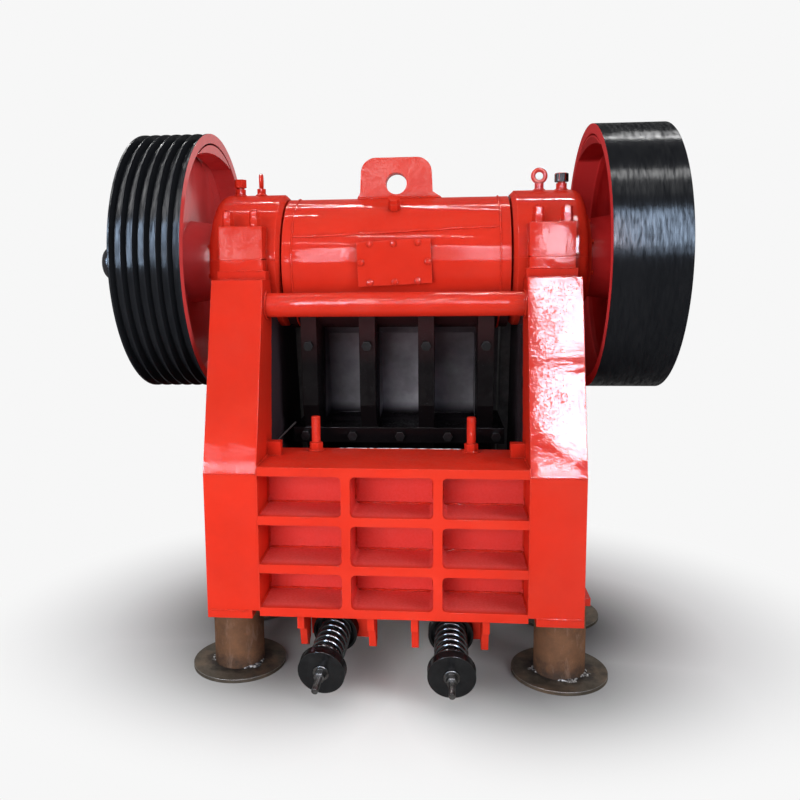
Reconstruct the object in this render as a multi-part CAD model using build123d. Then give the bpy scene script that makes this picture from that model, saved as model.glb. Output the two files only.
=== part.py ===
from build123d import *
import math
import os

# Wide single-toggle jaw crusher on four pipe stands, in millimetres.
# Working frame: X across the machine, -Y the rear (discharge) side, +Y the feed side, +Z up, Z 0 the ground.
# The rear faces of the frame lie in Y 0. The last step moves everything so that the origin is the middle
# of the overall box on the ground.

# Frame of the machine
INSIDE_HALF_WIDTH = 413.0          # inner face of each side plate
SIDE_THICKNESS = 40.0
POST_WIDTH = 166.0                 # rear flange, across the machine
POST_THICKNESS = 32.0
FRAME_BOTTOM = 290.0
KNEE_HEIGHT = 726.0                # where the rear flange starts to lean forward
POST_TOP = 1313.0
POST_LEAN = 164.0                  # how far forward its top stands
FRONT_TOP = 1262.0
SEAT_FRONT = 815.0                 # front end of the level bearing seat
SIDE_RIB_THICKNESS = 28.0
GUSSET_INSET = 40.0
SEAT_SLOPE_RUN = 110.0

# Rear wall, a plate with an open grid of ribs in front of it
WALL_RIB_THICKNESS = 28.0
WALL_TOP = 748.0
WALL_CELL_STEP = 154.0             # from rib to rib, counted from the top; the lowest cell takes the rest
WALL_RIB_LEVELS = 3                # cells above each other
WALL_CELLS_ACROSS = 3
WALL_BOTTOM = 273.0
WALL_RIB_SPREAD = 280.0            # between the two upright ribs
WALL_DEPTH = 162.0
WALL_PLATE = 30.0
SHELF_DEPTH = 278.0
CELL_CORNER = 15.0
CORNER_BLOCK = 45.0                # small blocks on the ends of the shelf
CORNER_BLOCK_DEPTH = 32.0

# Front wall and crushing chamber
JAW_THICKNESS = 60.0
JAW_TOOTH_PITCH = 60.0
JAW_TOOTH_DEPTH = 18.0
CHAMBER_BOTTOM = 330.0
CHAMBER_TOP = 1230.0
SWING_FACE_BOTTOM = 955.0          # Y of the swing jaw's face at the chamber's bottom
SWING_FACE_TOP = 756.0
FEED_GAPE = 394.0                  # between the jaw faces at the top
DISCHARGE_GAP = 65.0               # and at the bottom
FRONT_DEPTH = 170.0                # from the fixed jaw's face at its top to the front of the frame
FIXED_FACE_BOTTOM = SWING_FACE_BOTTOM + DISCHARGE_GAP
FIXED_FACE_TOP = SWING_FACE_TOP + FEED_GAPE
FRAME_LENGTH = FIXED_FACE_TOP + FRONT_DEPTH
FRONT_PLATE = 45.0
FRONT_RIB_LEVELS = 4
FRONT_CELLS_ACROSS = 4
FRONT_RIB_THICKNESS = 28.0
CHEEK_THICKNESS = 38.0
CHEEK_RAISE = 20.0                 # its lower edge above the chamber's bottom
CHEEK_CLEARANCE = 8.0              # between a cheek plate and the swing jaw

# Shaft line
SHAFT_Y = 500.0
SHAFT_Z = 1376.0
THROW = 12.0                       # eccentricity, at its lowest when the machine stands
MAIN_RADIUS = 85.0
THROW_RADIUS = 112.0
RUNNING = 0.05                     # radial clearance of each running fit
WHEEL_RADIUS = 442.0
WHEEL_INNER_X = 645.0
WHEEL_WIDTH = 229.0
RIM_THICKNESS = 38.0
RIM_DRAFT = 6.0
WEB_THICKNESS = 44.0
WEB_SHOULDER = 16.0                # slanting shoulder from the web to the rim and the hub
HUB_RADIUS = 130.0
HUB_TAPER = 24.0
HUB_BACK = 5.0                     # hub past the inner face of the wheel
GROOVES = 6
GROOVE_PITCH = 37.0
GROOVE_TOP = 32.0
GROOVE_BOTTOM = 16.0
GROOVE_DEPTH = 25.0
DRIVE_HUB_REACH = 190.0            # hub and shaft end beyond the sheave's outer face
END_RADIUS = 58.0                  # of the shaft's rounded drive end
END_ROUND = 22.0
PLAIN_HUB_REACH = 70.0
WEIGHT_THICKNESS = 30.0
WEIGHT_ANGLE = 60.0
WEIGHT_WIDTH = 76.0
WEIGHT_GAP = 0.3

# Bearing housings
HOUSING_RADIUS = 230.0
HOUSING_INNER_X = 381.0
HOUSING_WIDTH = 239.0
HOUSING_INNER_RIM = 14.0           # chamfer
HOUSING_OUTER_RIM = 38.0           # rounding
EAR_WIDTH = 142.0
EAR_REACH = 284.0                  # from the shaft line to the ear's outer face
EAR_SHIFT = 6.0                    # of the ears' middle towards the machine's middle
EAR_TOP = 108.0                    # above the split
EAR_CHAMFER = 6.0                  # on the cap's lower corners at the split
EAR_FOOT = 28.0                    # thickness of the foot that lies on the side plate
EAR_FOOT_WIDTH = 158.0
SEAL_RADIUS = 150.0
SEAL_THICKNESS = 18.0
CAP_BOLT_SPREAD = 88.0
CAP_BOLT_OFFSET = 4.0              # bolts past the middle of the ear's free part
CAP_NUT = 34.0                     # across flats
CAP_NUT_HEIGHT = 26.0
CAP_LOCK_NUT = 31.0
CAP_LOCK_HEIGHT = 22.0
CAP_BOLT_RADIUS = 9.0
CAP_BOLT_END = 54.0                # above the ear
EYE_X = 483.0
EYE_RADIUS = 28.0
EYE_BAR = 7.5
EYE_HEIGHT = 48.0                  # ring's centre above the housing
EYE_COLLAR_RADIUS = 15.0
EYE_COLLAR = 23.0
EYE_TURN = 100.0                   # of the left one, which shows its edge
PLUG_X = 558.0
PLUG_BASE_RADIUS = 18.0
PLUG_BASE = 22.0
PLUG_NECK_RADIUS = 13.0
PLUG_NECK = 6.0
PLUG_HEAD = 37.0                   # across flats
PLUG_HEAD_HEIGHT = 28.0

# Pitman
BARREL_HALF_LENGTH = 374.0
BARREL_RADIUS = 224.0
BARREL_BORE = 176.0
BARREL_COVER = 33.0
PITMAN_HALF_WIDTH = INSIDE_HALF_WIDTH - CHEEK_THICKNESS - CHEEK_CLEARANCE
BACK_RIB_THICKNESS = 54.0
BACK_RIB_SPREAD = 199.0            # between neighbouring ribs
BACK_RIBS = 4
RIB_NECK_INSET = 54.0              # rear edge of a rib, ahead of the barrel's rearmost line
RIB_NECK_DROP = 120.0              # where it starts, below the barrel's axis
RIB_WAIST_Y = 356.0
RIB_WAIST_Z = 880.0
RIB_KNEE_Y = 480.0
RIB_KNEE_Z = 640.0
RIB_TOE_DEPTH = 150.0
RIB_TOE_RISE = 10.0
SLAB_THICKNESS = 70.0
SLAB_MEETS_FRONT = 0.8             # where the slab runs into the barrel, in shares of its radius
SLAB_MEETS_LOW = 0.9
LOW_WEB_Y = 396.0                  # rear face of the bar across the ribs
LOW_WEB_BOTTOM = 742.0
LOW_WEB_HEIGHT = 54.0
LUG_X = -5.0
LUG_WIDTH = 250.0
LUG_THICKNESS = 60.0
LUG_RISE = 136.0                   # above the barrel
LUG_HOLE_RISE = 48.0
LUG_HOLE_RADIUS = 36.0
LUG_CORNER = 52.0
LUG_TAPER = 5.0                    # on each side
LUG_FLARE_RIGHT = 30.0             # wider foot of the lug
LUG_FLARE_LEFT = 10.0
LUG_FLARE_RISE = 20.0
COVER_X = -2.0
COVER_WIDTH = 240.0
COVER_HEIGHT = 144.0
COVER_THICKNESS = 14.0
COVER_TURN = -2.6                  # degrees that the cover plate sits askew
COVER_PAD_INSET = 15.0
COVER_PAD_DEPTH = 20.0
OIL_PLUG_SIZE = 36.0
OIL_PLUG_BASE = 24.0
OIL_PLUG_HEAD_SIZE = 32.0
OIL_PLUG_HEIGHT = 40.0
OIL_PLUG_X = -6.0
OIL_PLUG_TURN = 37.0               # degrees behind the barrel's top
STUD_RADIUS = 15.0
STUD_NUT = 22.0
STUD_HEIGHT = 1089.0
LOW_STUDS = 5
LOW_STUD_X = 8.0                   # middle of the row
LOW_STUD_SPREAD = 165.0

# Tie bar between the posts
TIE_RADIUS = 38.5
TIE_Y = 205.0
TIE_Z = 1232.0

# Toggle, wedge block and adjusting screws
TOGGLE_END_Y = 640.0               # rear face of the toggle seat in the pitman
TOGGLE_HEIGHT = 520.0              # of the seat in the wedge block
TOGGLE_RISE = -34.0
TOGGLE_THICKNESS = 46.0
TOGGLE_SIDE_GAP = 2.0              # between its ends and the sides of the seats
TOGGLE_CLEARANCE = 8.0             # left at the open joint when the pitman is nearest
TOGGLE_SEAT_DEPTH = 40.0
SEAT_BLOCK_DEPTH = 160.0
SEAT_BLOCK_RISE = 90.0
SEAT_BLOCK_DROP = 80.0
BLOCK_DEPTH = 120.0
BLOCK_HEIGHT = 200.0
WEDGE_TOP_DEPTH = 78.0
WEDGE_BOTTOM_DEPTH = 40.0
SEATED = 0.3                       # gap of pieces that lie against each other
SCREW_LEFT = -264.0
SCREW_RIGHT = 248.0
SCREW_SET = 54.0                   # ahead of the wall's plate
SCREW_RADIUS = 14.0
SCREW_HOLE = 1.0                   # wider than the screw all round
SCREW_TOP = 861.0
SCREW_NUT = 19.0
SCREW_NUT_HEIGHT = 27.0

# Tension rods and springs under the rear wall
ROD_X_LEFT = -214.0
ROD_X_RIGHT = 182.0
ROD_YAW_LEFT = -5.0                # degrees; the left rod spreads outwards to the rear
ROD_YAW_RIGHT = 0.0
ROD_LEAN = 10.0                    # degrees, falling to the rear
ROD_END = -85.0                    # from the face of the cup
ROD_LENGTH = 860.0
ROD_RADIUS = 10.0
ROD_HOLE = 6.0                     # clearance round the rod in its bracket
ROD_NUT = 30.0
ROD_NUT_HEIGHT = 26.0
CUP_Y = -62.0
CUP_Z = 125.0
CUP_RADIUS = 73.5
CUP_DEPTH = 34.0
CUP_WALL = 9.0
SPRING_RADIUS = 54.0               # outside of the coil
SPRING_WIRE = 7.0
SPRING_LENGTH = 224.0
SPRING_TURNS = 8.5
SEAT_RADIUS = 73.0
SEAT_DEPTH = 36.0
SEAT_WALL = 8.0
BRACKET_THICKNESS = 22.0
BRACKET_INNER_X = 68.0
BRACKET_OUTER_X = 288.0
BRACKET_DEPTH = 170.0              # of an ear at the wall
BRACKET_BACK = 20.0                # ahead of the wall's rear edge
BRACKET_NECK_BACK = 65.0
BRACKET_NECK_FRONT = 130.0
BRACKET_NECK_DROP = 68.0
BRACKET_DROP = 143.0
BRACKET_EDGE_DROP = 47.0
BRACKET_TIP_CUT = 15.0             # on the corners of an ear's lower end
CROSS_PLATE = 24.0
CROSS_PLATE_REACH = 66.0           # to the left of the rod
CROSS_PLATE_DROP = 141.0

# Stands
PIPE_RADIUS = 84.15
PIPE_WALL = 7.0
DISC_RADIUS = 158.0
DISC_THICKNESS = 12.0
FOOT_PLATE = 26.0
FOOT_LENGTH = 230.0
FOOT_STEP = 165.0                  # where a rear foot plate widens to its pipe
FOOT_INSET = 24.0                  # of a foot plate from the side plate's inner face
REAR_STAND = (543.0, 240.0)
FRONT_STAND = (600.0, 700.0)

parts = {}


def block(x0, x1, y0, y1, z0, z1):
    """A box between two corners."""
    size = (x1 - x0, y1 - y0, z1 - z0)
    middle = ((x0 + x1) / 2, (y0 + y1) / 2, (z0 + z1) / 2)
    return Pos(*middle) * Box(*size)


def plate_yz(points, x0, x1):
    """A plate across the machine, from an outline of (Y, Z) points."""
    outline = make_face(Polyline(*points, close=True))
    return extrude(Plane.YZ.offset(x0) * outline, amount=x1 - x0)


def bar_x(radius, x0, x1, y, z):
    """A round bar along X."""
    bar = Cylinder(radius, x1 - x0, rotation=(0, 90, 0))
    return Pos((x0 + x1) / 2, y, z) * bar


def hexagon(across, height):
    """A nut or bolt head, standing on Z 0."""
    return extrude(RegularPolygon(across / math.sqrt(3), 6), amount=height)


def mirror_x(shape):
    return mirror(shape, about=Plane.YZ)


def on_line(z, z_low, y_low, z_high, y_high):
    """Y of a leaning line at height z."""
    return y_low + (y_high - y_low) * (z - z_low) / (z_high - z_low)


def fixed_face(z):
    return on_line(z, CHAMBER_BOTTOM, FIXED_FACE_BOTTOM, CHAMBER_TOP, FIXED_FACE_TOP)


def swing_face(z):
    return on_line(z, CHAMBER_BOTTOM, SWING_FACE_BOTTOM, CHAMBER_TOP, SWING_FACE_TOP)


# Side plates, posts and outer ribs
def housing_seat():
    """The round pocket that a bearing housing lies in."""
    return bar_x(HOUSING_RADIUS + SEATED, 0, WHEEL_INNER_X, SHAFT_Y, SHAFT_Z)


def side_plate():
    back = POST_THICKNESS
    outline = [
        (back, FRAME_BOTTOM),
        (FRAME_LENGTH, FRAME_BOTTOM),
        (FRAME_LENGTH, FRONT_TOP),
        (SEAT_FRONT + SEAT_SLOPE_RUN, FRONT_TOP),
        (SEAT_FRONT, POST_TOP),
        (POST_LEAN + back, POST_TOP),
        (back, KNEE_HEIGHT),
    ]
    plate = plate_yz(outline, INSIDE_HALF_WIDTH, INSIDE_HALF_WIDTH + SIDE_THICKNESS)
    return plate - housing_seat()


def rear_post():
    outline = [
        (0, FRAME_BOTTOM),
        (POST_THICKNESS, FRAME_BOTTOM),
        (POST_THICKNESS, KNEE_HEIGHT),
        (POST_LEAN + POST_THICKNESS, POST_TOP),
        (POST_LEAN, POST_TOP),
        (0, KNEE_HEIGHT),
    ]
    return plate_yz(outline, INSIDE_HALF_WIDTH, INSIDE_HALF_WIDTH + POST_WIDTH)


RIB_X0 = INSIDE_HALF_WIDTH + SIDE_THICKNESS
RIB_X1 = INSIDE_HALF_WIDTH + POST_WIDTH


def side_flanges():
    """Lying flanges on the outside of one side plate: bottom, knee, bearing seat and front top."""
    t = SIDE_RIB_THICKNESS
    front = FRAME_LENGTH
    seat_back = POST_LEAN + POST_THICKNESS
    seat = block(RIB_X0, RIB_X1, seat_back, SEAT_FRONT, POST_TOP - t, POST_TOP) - housing_seat()
    return [
        block(RIB_X0, RIB_X1, POST_THICKNESS, front, FRAME_BOTTOM, FRAME_BOTTOM + t),
        block(RIB_X0, RIB_X1, POST_THICKNESS, front, KNEE_HEIGHT - t, KNEE_HEIGHT),
        block(RIB_X0, RIB_X1, SEAT_FRONT + SEAT_SLOPE_RUN, front, FRONT_TOP - t, FRONT_TOP),
    ] + seat.solids()


def upright(y, z0, z1):
    t = SIDE_RIB_THICKNESS
    return block(RIB_X0, RIB_X1, y - t / 2, y + t / 2, z0, z1)


def side_stiffeners():
    """Upright ribs between the flanges, and three gussets under the bearing."""
    t = SIDE_RIB_THICKNESS
    front = FRAME_LENGTH - t / 2
    low = FRAME_BOTTOM + t
    spread = HOUSING_RADIUS - GUSSET_INSET
    solids = [upright(y, low, KNEE_HEIGHT - t) for y in (front, (FRAME_LENGTH + POST_THICKNESS) / 2)]
    solids.append(upright(front, KNEE_HEIGHT, FRONT_TOP - t))
    for y in (SHAFT_Y - spread, SHAFT_Y, SHAFT_Y + spread):
        gusset = upright(y, KNEE_HEIGHT, POST_TOP - t) - housing_seat()
        solids += gusset.solids()
    return solids


for side, flip in (("right", False), ("left", True)):
    for name, shape in (("side_plate", side_plate()), ("rear_post", rear_post())):
        parts[f"{name}_{side}"] = mirror_x(shape) if flip else shape

for name, solids in (("side_flanges", side_flanges()), ("side_stiffeners", side_stiffeners())):
    parts[name] = Compound(solids + [mirror_x(solid) for solid in solids])


# Rear wall
SCREW_PLACES = (SCREW_LEFT, SCREW_RIGHT)
SCREW_Y = WALL_DEPTH + WALL_PLATE + SCREW_SET


def wall_cell(column, row):
    """An open cell, rounded only beside the two upright ribs."""
    t = WALL_RIB_THICKNESS
    edges = [-INSIDE_HALF_WIDTH, -WALL_RIB_SPREAD / 2, WALL_RIB_SPREAD / 2, INSIDE_HALF_WIDTH]
    last = WALL_CELLS_ACROSS - 1
    x0 = edges[column] + (t / 2 if column > 0 else 0)
    x1 = edges[column + 1] - (t / 2 if column < last else 0)
    z1 = WALL_TOP - t - row * WALL_CELL_STEP
    z0 = z1 + t - WALL_CELL_STEP if row < WALL_RIB_LEVELS - 1 else WALL_BOTTOM + t
    cell = block(x0, x1, 0, WALL_DEPTH, z0, z1)
    corners = cell.edges().filter_by(Axis.Y)
    if column == 0:
        corners = corners.group_by(Axis.X)[-1]
    if column == last:
        corners = corners.group_by(Axis.X)[0]
    return fillet(corners, CELL_CORNER)


def rear_wall():
    half = INSIDE_HALF_WIDTH
    t = WALL_RIB_THICKNESS
    wall = block(-half, half, 0, WALL_DEPTH + WALL_PLATE, WALL_BOTTOM, WALL_TOP)
    for column in range(WALL_CELLS_ACROSS):
        for row in range(WALL_RIB_LEVELS):
            wall -= wall_cell(column, row)
    wall += block(-half, half, WALL_DEPTH, SHELF_DEPTH, WALL_TOP - t, WALL_TOP)
    for x in SCREW_PLACES:
        wall -= Pos(x, SCREW_Y, WALL_TOP) * Cylinder(SCREW_RADIUS + SCREW_HOLE, 4 * t)
    top = WALL_TOP + CORNER_BLOCK
    for x in (-half, half - CORNER_BLOCK):
        wall += block(x, x + CORNER_BLOCK, WALL_DEPTH, WALL_DEPTH + CORNER_BLOCK_DEPTH, WALL_TOP, top)
    return wall


parts["rear_wall"] = rear_wall()
parts["tie_bar"] = bar_x(TIE_RADIUS, -INSIDE_HALF_WIDTH, INSIDE_HALF_WIDTH, TIE_Y, TIE_Z)


# Front wall, leaning with the fixed jaw
def front_wall():
    half = INSIDE_HALF_WIDTH
    t = FRONT_RIB_THICKNESS
    z0 = FRAME_BOTTOM
    z1 = FRONT_TOP
    inner_low = fixed_face(z0) + JAW_THICKNESS
    inner_high = fixed_face(z1) + JAW_THICKNESS
    outline = [
        (inner_low, z0),
        (inner_low + FRONT_PLATE, z0),
        (inner_high + FRONT_PLATE, z1),
        (inner_high, z1),
    ]
    wall = plate_yz(outline, -half, half)
    for level in range(FRONT_RIB_LEVELS):
        z = z0 + (z1 - z0 - t) * level / (FRONT_RIB_LEVELS - 1)
        wall += block(-half, half, fixed_face(z) + JAW_THICKNESS + t, FRAME_LENGTH, z, z + t)
    for number in range(1, FRONT_CELLS_ACROSS):
        x = -half + 2 * half * number / FRONT_CELLS_ACROSS
        upright = [
            (inner_low + t, z0),
            (FRAME_LENGTH, z0),
            (FRAME_LENGTH, z1),
            (inner_high + t, z1),
        ]
        wall += plate_yz(upright, x - t / 2, x + t / 2)
    return wall


parts["front_wall"] = front_wall()


# Jaw plates with upright teeth on their faces
def jaw_plate(half_width, points):
    """A plate across the chamber whose face, the first two (Y, Z) points, carries upright teeth."""
    plate = plate_yz(points, -half_width, half_width)
    low, high = points[0], points[1]
    lean = math.atan2(high[0] - low[0], high[1] - low[1])
    toward = 1 if points[2][0] < high[0] else -1
    count = int(2 * half_width / JAW_TOOTH_PITCH)
    length = math.dist(low, high)
    side = JAW_TOOTH_PITCH / 4
    groove = extrude(Polygon((-side, -1), (side, -1), (0, JAW_TOOTH_DEPTH)), amount=length)
    start = -(count - 1) / 2 * JAW_TOOTH_PITCH
    for number in range(count):
        place = Pos(start + number * JAW_TOOTH_PITCH, low[0], low[1]) * Rot(-math.degrees(lean), 0, 0)
        cut = mirror(groove, about=Plane.XZ) if toward > 0 else groove
        plate -= place * cut
    return plate


def fixed_jaw():
    z0 = CHAMBER_BOTTOM
    z1 = CHAMBER_TOP
    back = JAW_THICKNESS - SEATED
    points = [
        (fixed_face(z0), z0),
        (fixed_face(z1), z1),
        (fixed_face(z1) + back, z1),
        (fixed_face(z0) + back, z0),
    ]
    return jaw_plate(PITMAN_HALF_WIDTH, points)


def swing_jaw():
    z0 = CHAMBER_BOTTOM
    z1 = CHAMBER_TOP
    back = JAW_THICKNESS - SEATED
    points = [
        (swing_face(z0), z0),
        (swing_face(z1), z1),
        (swing_face(z1) - back, z1),
        (swing_face(z0) - back, z0),
    ]
    return jaw_plate(PITMAN_HALF_WIDTH, points)


parts["fixed_jaw_plate"] = fixed_jaw()
parts["swing_jaw_plate"] = swing_jaw()


def cheek_plate():
    z0 = CHAMBER_BOTTOM + CHEEK_RAISE
    z1 = CHAMBER_TOP
    outline = [
        (swing_face(z0) - JAW_THICKNESS, z0),
        (fixed_face(z0) - SEATED, z0),
        (fixed_face(z1) - SEATED, z1),
        (swing_face(z1) - JAW_THICKNESS, z1),
    ]
    inner = INSIDE_HALF_WIDTH - CHEEK_THICKNESS
    return plate_yz(outline, inner, INSIDE_HALF_WIDTH - SEATED)


parts["cheek_plate_right"] = cheek_plate()
parts["cheek_plate_left"] = mirror_x(cheek_plate())


# Bearing housings, split at the shaft line
HOUSING_OUTER_X = HOUSING_INNER_X + HOUSING_WIDTH
EAR_MIDDLE = HOUSING_INNER_X + HOUSING_WIDTH / 2 - EAR_SHIFT
FAR = 2 * HOUSING_RADIUS


def housing_round():
    body = bar_x(HOUSING_RADIUS, HOUSING_INNER_X, HOUSING_OUTER_X, SHAFT_Y, SHAFT_Z)
    inner, outer = body.edges().filter_by(GeomType.CIRCLE).sort_by(Axis.X)
    body = chamfer(inner, HOUSING_INNER_RIM)
    return fillet(body.edges().filter_by(GeomType.CIRCLE).sort_by(Axis.X)[-1], HOUSING_OUTER_RIM)


def housing_ears(width, z0, z1):
    x0 = EAR_MIDDLE - width / 2
    return block(x0, x0 + width, SHAFT_Y - EAR_REACH, SHAFT_Y + EAR_REACH, z0, z1)


def housing_bore():
    return bar_x(MAIN_RADIUS + RUNNING, HOUSING_INNER_X - 1, HOUSING_OUTER_X + 1, SHAFT_Y, SHAFT_Z)


def bearing_cap():
    upper = block(0, 2 * FAR, SHAFT_Y - FAR, SHAFT_Y + FAR, SHAFT_Z, SHAFT_Z + FAR)
    ears = housing_ears(EAR_WIDTH, SHAFT_Z, SHAFT_Z + EAR_TOP)
    ears = chamfer(ears.edges().filter_by(Axis.Y).group_by(Axis.Z)[0], EAR_CHAMFER)
    return (housing_round() & upper) + ears


def bearing_base():
    lower = block(0, 2 * FAR, SHAFT_Y - FAR, SHAFT_Y + FAR, SHAFT_Z - FAR, SHAFT_Z)
    base = housing_round() & lower
    base += housing_ears(EAR_WIDTH, POST_TOP, SHAFT_Z)
    return base + housing_ears(EAR_FOOT_WIDTH, POST_TOP, POST_TOP + EAR_FOOT)


for side, flip in (("right", False), ("left", True)):
    for name, shape in (("bearing_cap", bearing_cap()), ("bearing_base", bearing_base())):
        shape -= housing_bore()
        parts[f"{name}_{side}"] = mirror_x(shape) if flip else shape


def upstanding(shape_height, radius):
    """A round pin standing on Z 0."""
    return Cylinder(radius, shape_height, align=(Align.CENTER, Align.CENTER, Align.MIN))


def seal_covers():
    x0 = HOUSING_OUTER_X
    cover = bar_x(SEAL_RADIUS, x0, x0 + SEAL_THICKNESS, SHAFT_Y, SHAFT_Z)
    cover -= bar_x(MAIN_RADIUS + RUNNING, x0 - 1, x0 + SEAL_THICKNESS + 1, SHAFT_Y, SHAFT_Z)
    return Compound([cover, mirror_x(cover)])


def cap_bolts():
    """Upright bolt ends with a nut and a lock nut on the ears of both housings."""
    ear_y = (HOUSING_RADIUS + EAR_REACH) / 2 + CAP_BOLT_OFFSET
    bolt = hexagon(CAP_NUT, CAP_NUT_HEIGHT) + upstanding(CAP_BOLT_END, CAP_BOLT_RADIUS)
    bolt += Pos(0, 0, CAP_NUT_HEIGHT) * hexagon(CAP_LOCK_NUT, CAP_LOCK_HEIGHT)
    solids = []
    for mirror_side in (1, -1):
        for dx in (-CAP_BOLT_SPREAD / 2, CAP_BOLT_SPREAD / 2):
            for dy in (-ear_y, ear_y):
                place = Pos(mirror_side * (EAR_MIDDLE + dx), SHAFT_Y + dy, SHAFT_Z + EAR_TOP)
                solids.append(place * bolt)
    return Compound(solids)


def eye_bolts():
    top = SHAFT_Z + HOUSING_RADIUS + SEATED
    ring = Pos(0, 0, EYE_HEIGHT) * Torus(EYE_RADIUS - EYE_BAR, EYE_BAR, rotation=(90, 0, 0))
    eye = upstanding(EYE_COLLAR, EYE_COLLAR_RADIUS) + ring
    right = Pos(EYE_X, SHAFT_Y, top) * eye
    left = Pos(-EYE_X, SHAFT_Y, top) * Rot(0, 0, EYE_TURN) * eye
    return Compound([right, left])


def grease_plugs():
    top = SHAFT_Z + HOUSING_RADIUS + SEATED
    head = Pos(0, 0, PLUG_BASE + PLUG_NECK) * hexagon(PLUG_HEAD, PLUG_HEAD_HEIGHT)
    plug = upstanding(PLUG_BASE, PLUG_BASE_RADIUS) + upstanding(PLUG_BASE + PLUG_NECK, PLUG_NECK_RADIUS) + head
    return Compound([Pos(s * PLUG_X, SHAFT_Y, top) * plug for s in (1, -1)])


parts["seal_covers"] = seal_covers()
parts["cap_bolts"] = cap_bolts()
parts["eye_bolts"] = eye_bolts()
parts["grease_plugs"] = grease_plugs()


# Rotor
def spun(points):
    """A ring or disc turned about the shaft line, from (X, radius) points."""
    profile = make_face(Polyline(*points, close=True))
    return Pos(0, SHAFT_Y, SHAFT_Z) * revolve(profile, Axis.X)


def wheel_points(hub_reach, tread):
    x0 = WHEEL_INNER_X
    x1 = x0 + WHEEL_WIDTH
    bevel = WEB_SHOULDER
    inner = WHEEL_RADIUS - RIM_THICKNESS
    edge = inner + RIM_DRAFT
    foot = HUB_RADIUS + bevel
    web0 = (x0 + x1) / 2 - WEB_THICKNESS / 2
    web1 = web0 + WEB_THICKNESS
    hub0 = x0 - HUB_BACK
    hub1 = x1 + hub_reach / 2
    points = [(hub0, MAIN_RADIUS), (hub0, HUB_RADIUS), (web0, foot), (web0, inner - bevel)]
    points += [(web0 - bevel, inner), (x0, edge), (x0, WHEEL_RADIUS)]
    points += tread
    points += [(x1, WHEEL_RADIUS), (x1, edge), (web1 + bevel, inner), (web1, inner - bevel)]
    points += [(web1, foot), (x1, HUB_RADIUS), (hub1, HUB_RADIUS - HUB_TAPER), (hub1, MAIN_RADIUS)]
    return points


def sheave():
    tread = []
    first = WHEEL_INNER_X + WHEEL_WIDTH / 2 - (GROOVES - 1) / 2 * GROOVE_PITCH
    for number in range(GROOVES):
        middle = first + number * GROOVE_PITCH
        tread.append((middle - GROOVE_TOP / 2, WHEEL_RADIUS))
        tread.append((middle - GROOVE_BOTTOM / 2, WHEEL_RADIUS - GROOVE_DEPTH))
        tread.append((middle + GROOVE_BOTTOM / 2, WHEEL_RADIUS - GROOVE_DEPTH))
        tread.append((middle + GROOVE_TOP / 2, WHEEL_RADIUS))
    return mirror_x(spun(wheel_points(DRIVE_HUB_REACH, tread)))


def counterweight():
    """A crescent under the rim at the wheel's top, running out to points."""
    outer = WHEEL_RADIUS - RIM_THICKNESS - WEIGHT_GAP
    inner = outer - WEIGHT_THICKNESS
    x1 = WHEEL_INNER_X + (WHEEL_WIDTH - WEB_THICKNESS) / 2 - WEB_SHOULDER
    x0 = x1 - WEIGHT_WIDTH
    half = math.radians(WEIGHT_ANGLE / 2)
    drop = (outer ** 2 - inner ** 2) / (2 * (inner - outer * math.cos(half)))
    disc = bar_x(outer, x0, x1, SHAFT_Y, SHAFT_Z)
    return disc - bar_x(inner + drop, x0 - 1, x1 + 1, SHAFT_Y, SHAFT_Z - drop)


def eccentric_shaft():
    left = WHEEL_INNER_X + WHEEL_WIDTH + DRIVE_HUB_REACH
    right = WHEEL_INNER_X + WHEEL_WIDTH + PLAIN_HUB_REACH
    hub_end = WHEEL_INNER_X + WHEEL_WIDTH + DRIVE_HUB_REACH / 2
    tip = bar_x(END_RADIUS, -left, -hub_end, SHAFT_Y, SHAFT_Z)
    tip = fillet(tip.edges().filter_by(GeomType.CIRCLE).sort_by(Axis.X)[0], END_ROUND)
    shaft = tip + bar_x(MAIN_RADIUS, -hub_end, right, SHAFT_Y, SHAFT_Z)
    return shaft + bar_x(THROW_RADIUS, -HOUSING_INNER_X, HOUSING_INNER_X, SHAFT_Y, SHAFT_Z - THROW)


parts["eccentric_shaft"] = eccentric_shaft()
parts["sheave"] = sheave() - eccentric_shaft()
parts["flywheel"] = spun(wheel_points(PLAIN_HUB_REACH, [])) - eccentric_shaft()
parts["counterweights"] = Compound([counterweight(), mirror_x(counterweight())])


# Pitman
BARREL_Z = SHAFT_Z - THROW


def back_rib_points():
    z0 = CHAMBER_BOTTOM
    back = swing_face(z0) - JAW_THICKNESS
    seat_z = TOGGLE_HEIGHT + TOGGLE_RISE
    return [
        (SHAFT_Y, BARREL_Z),
        (SHAFT_Y - BARREL_RADIUS + RIB_NECK_INSET, BARREL_Z - RIB_NECK_DROP),
        (RIB_WAIST_Y, RIB_WAIST_Z),
        (RIB_KNEE_Y, RIB_KNEE_Z),
        (TOGGLE_END_Y, seat_z + SEAT_BLOCK_RISE),
        (TOGGLE_END_Y, seat_z - SEAT_BLOCK_DROP),
        (back - RIB_TOE_DEPTH, z0 + RIB_TOE_RISE),
        (back, z0),
        (swing_face(CHAMBER_TOP) - JAW_THICKNESS, CHAMBER_TOP),
    ]


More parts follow.
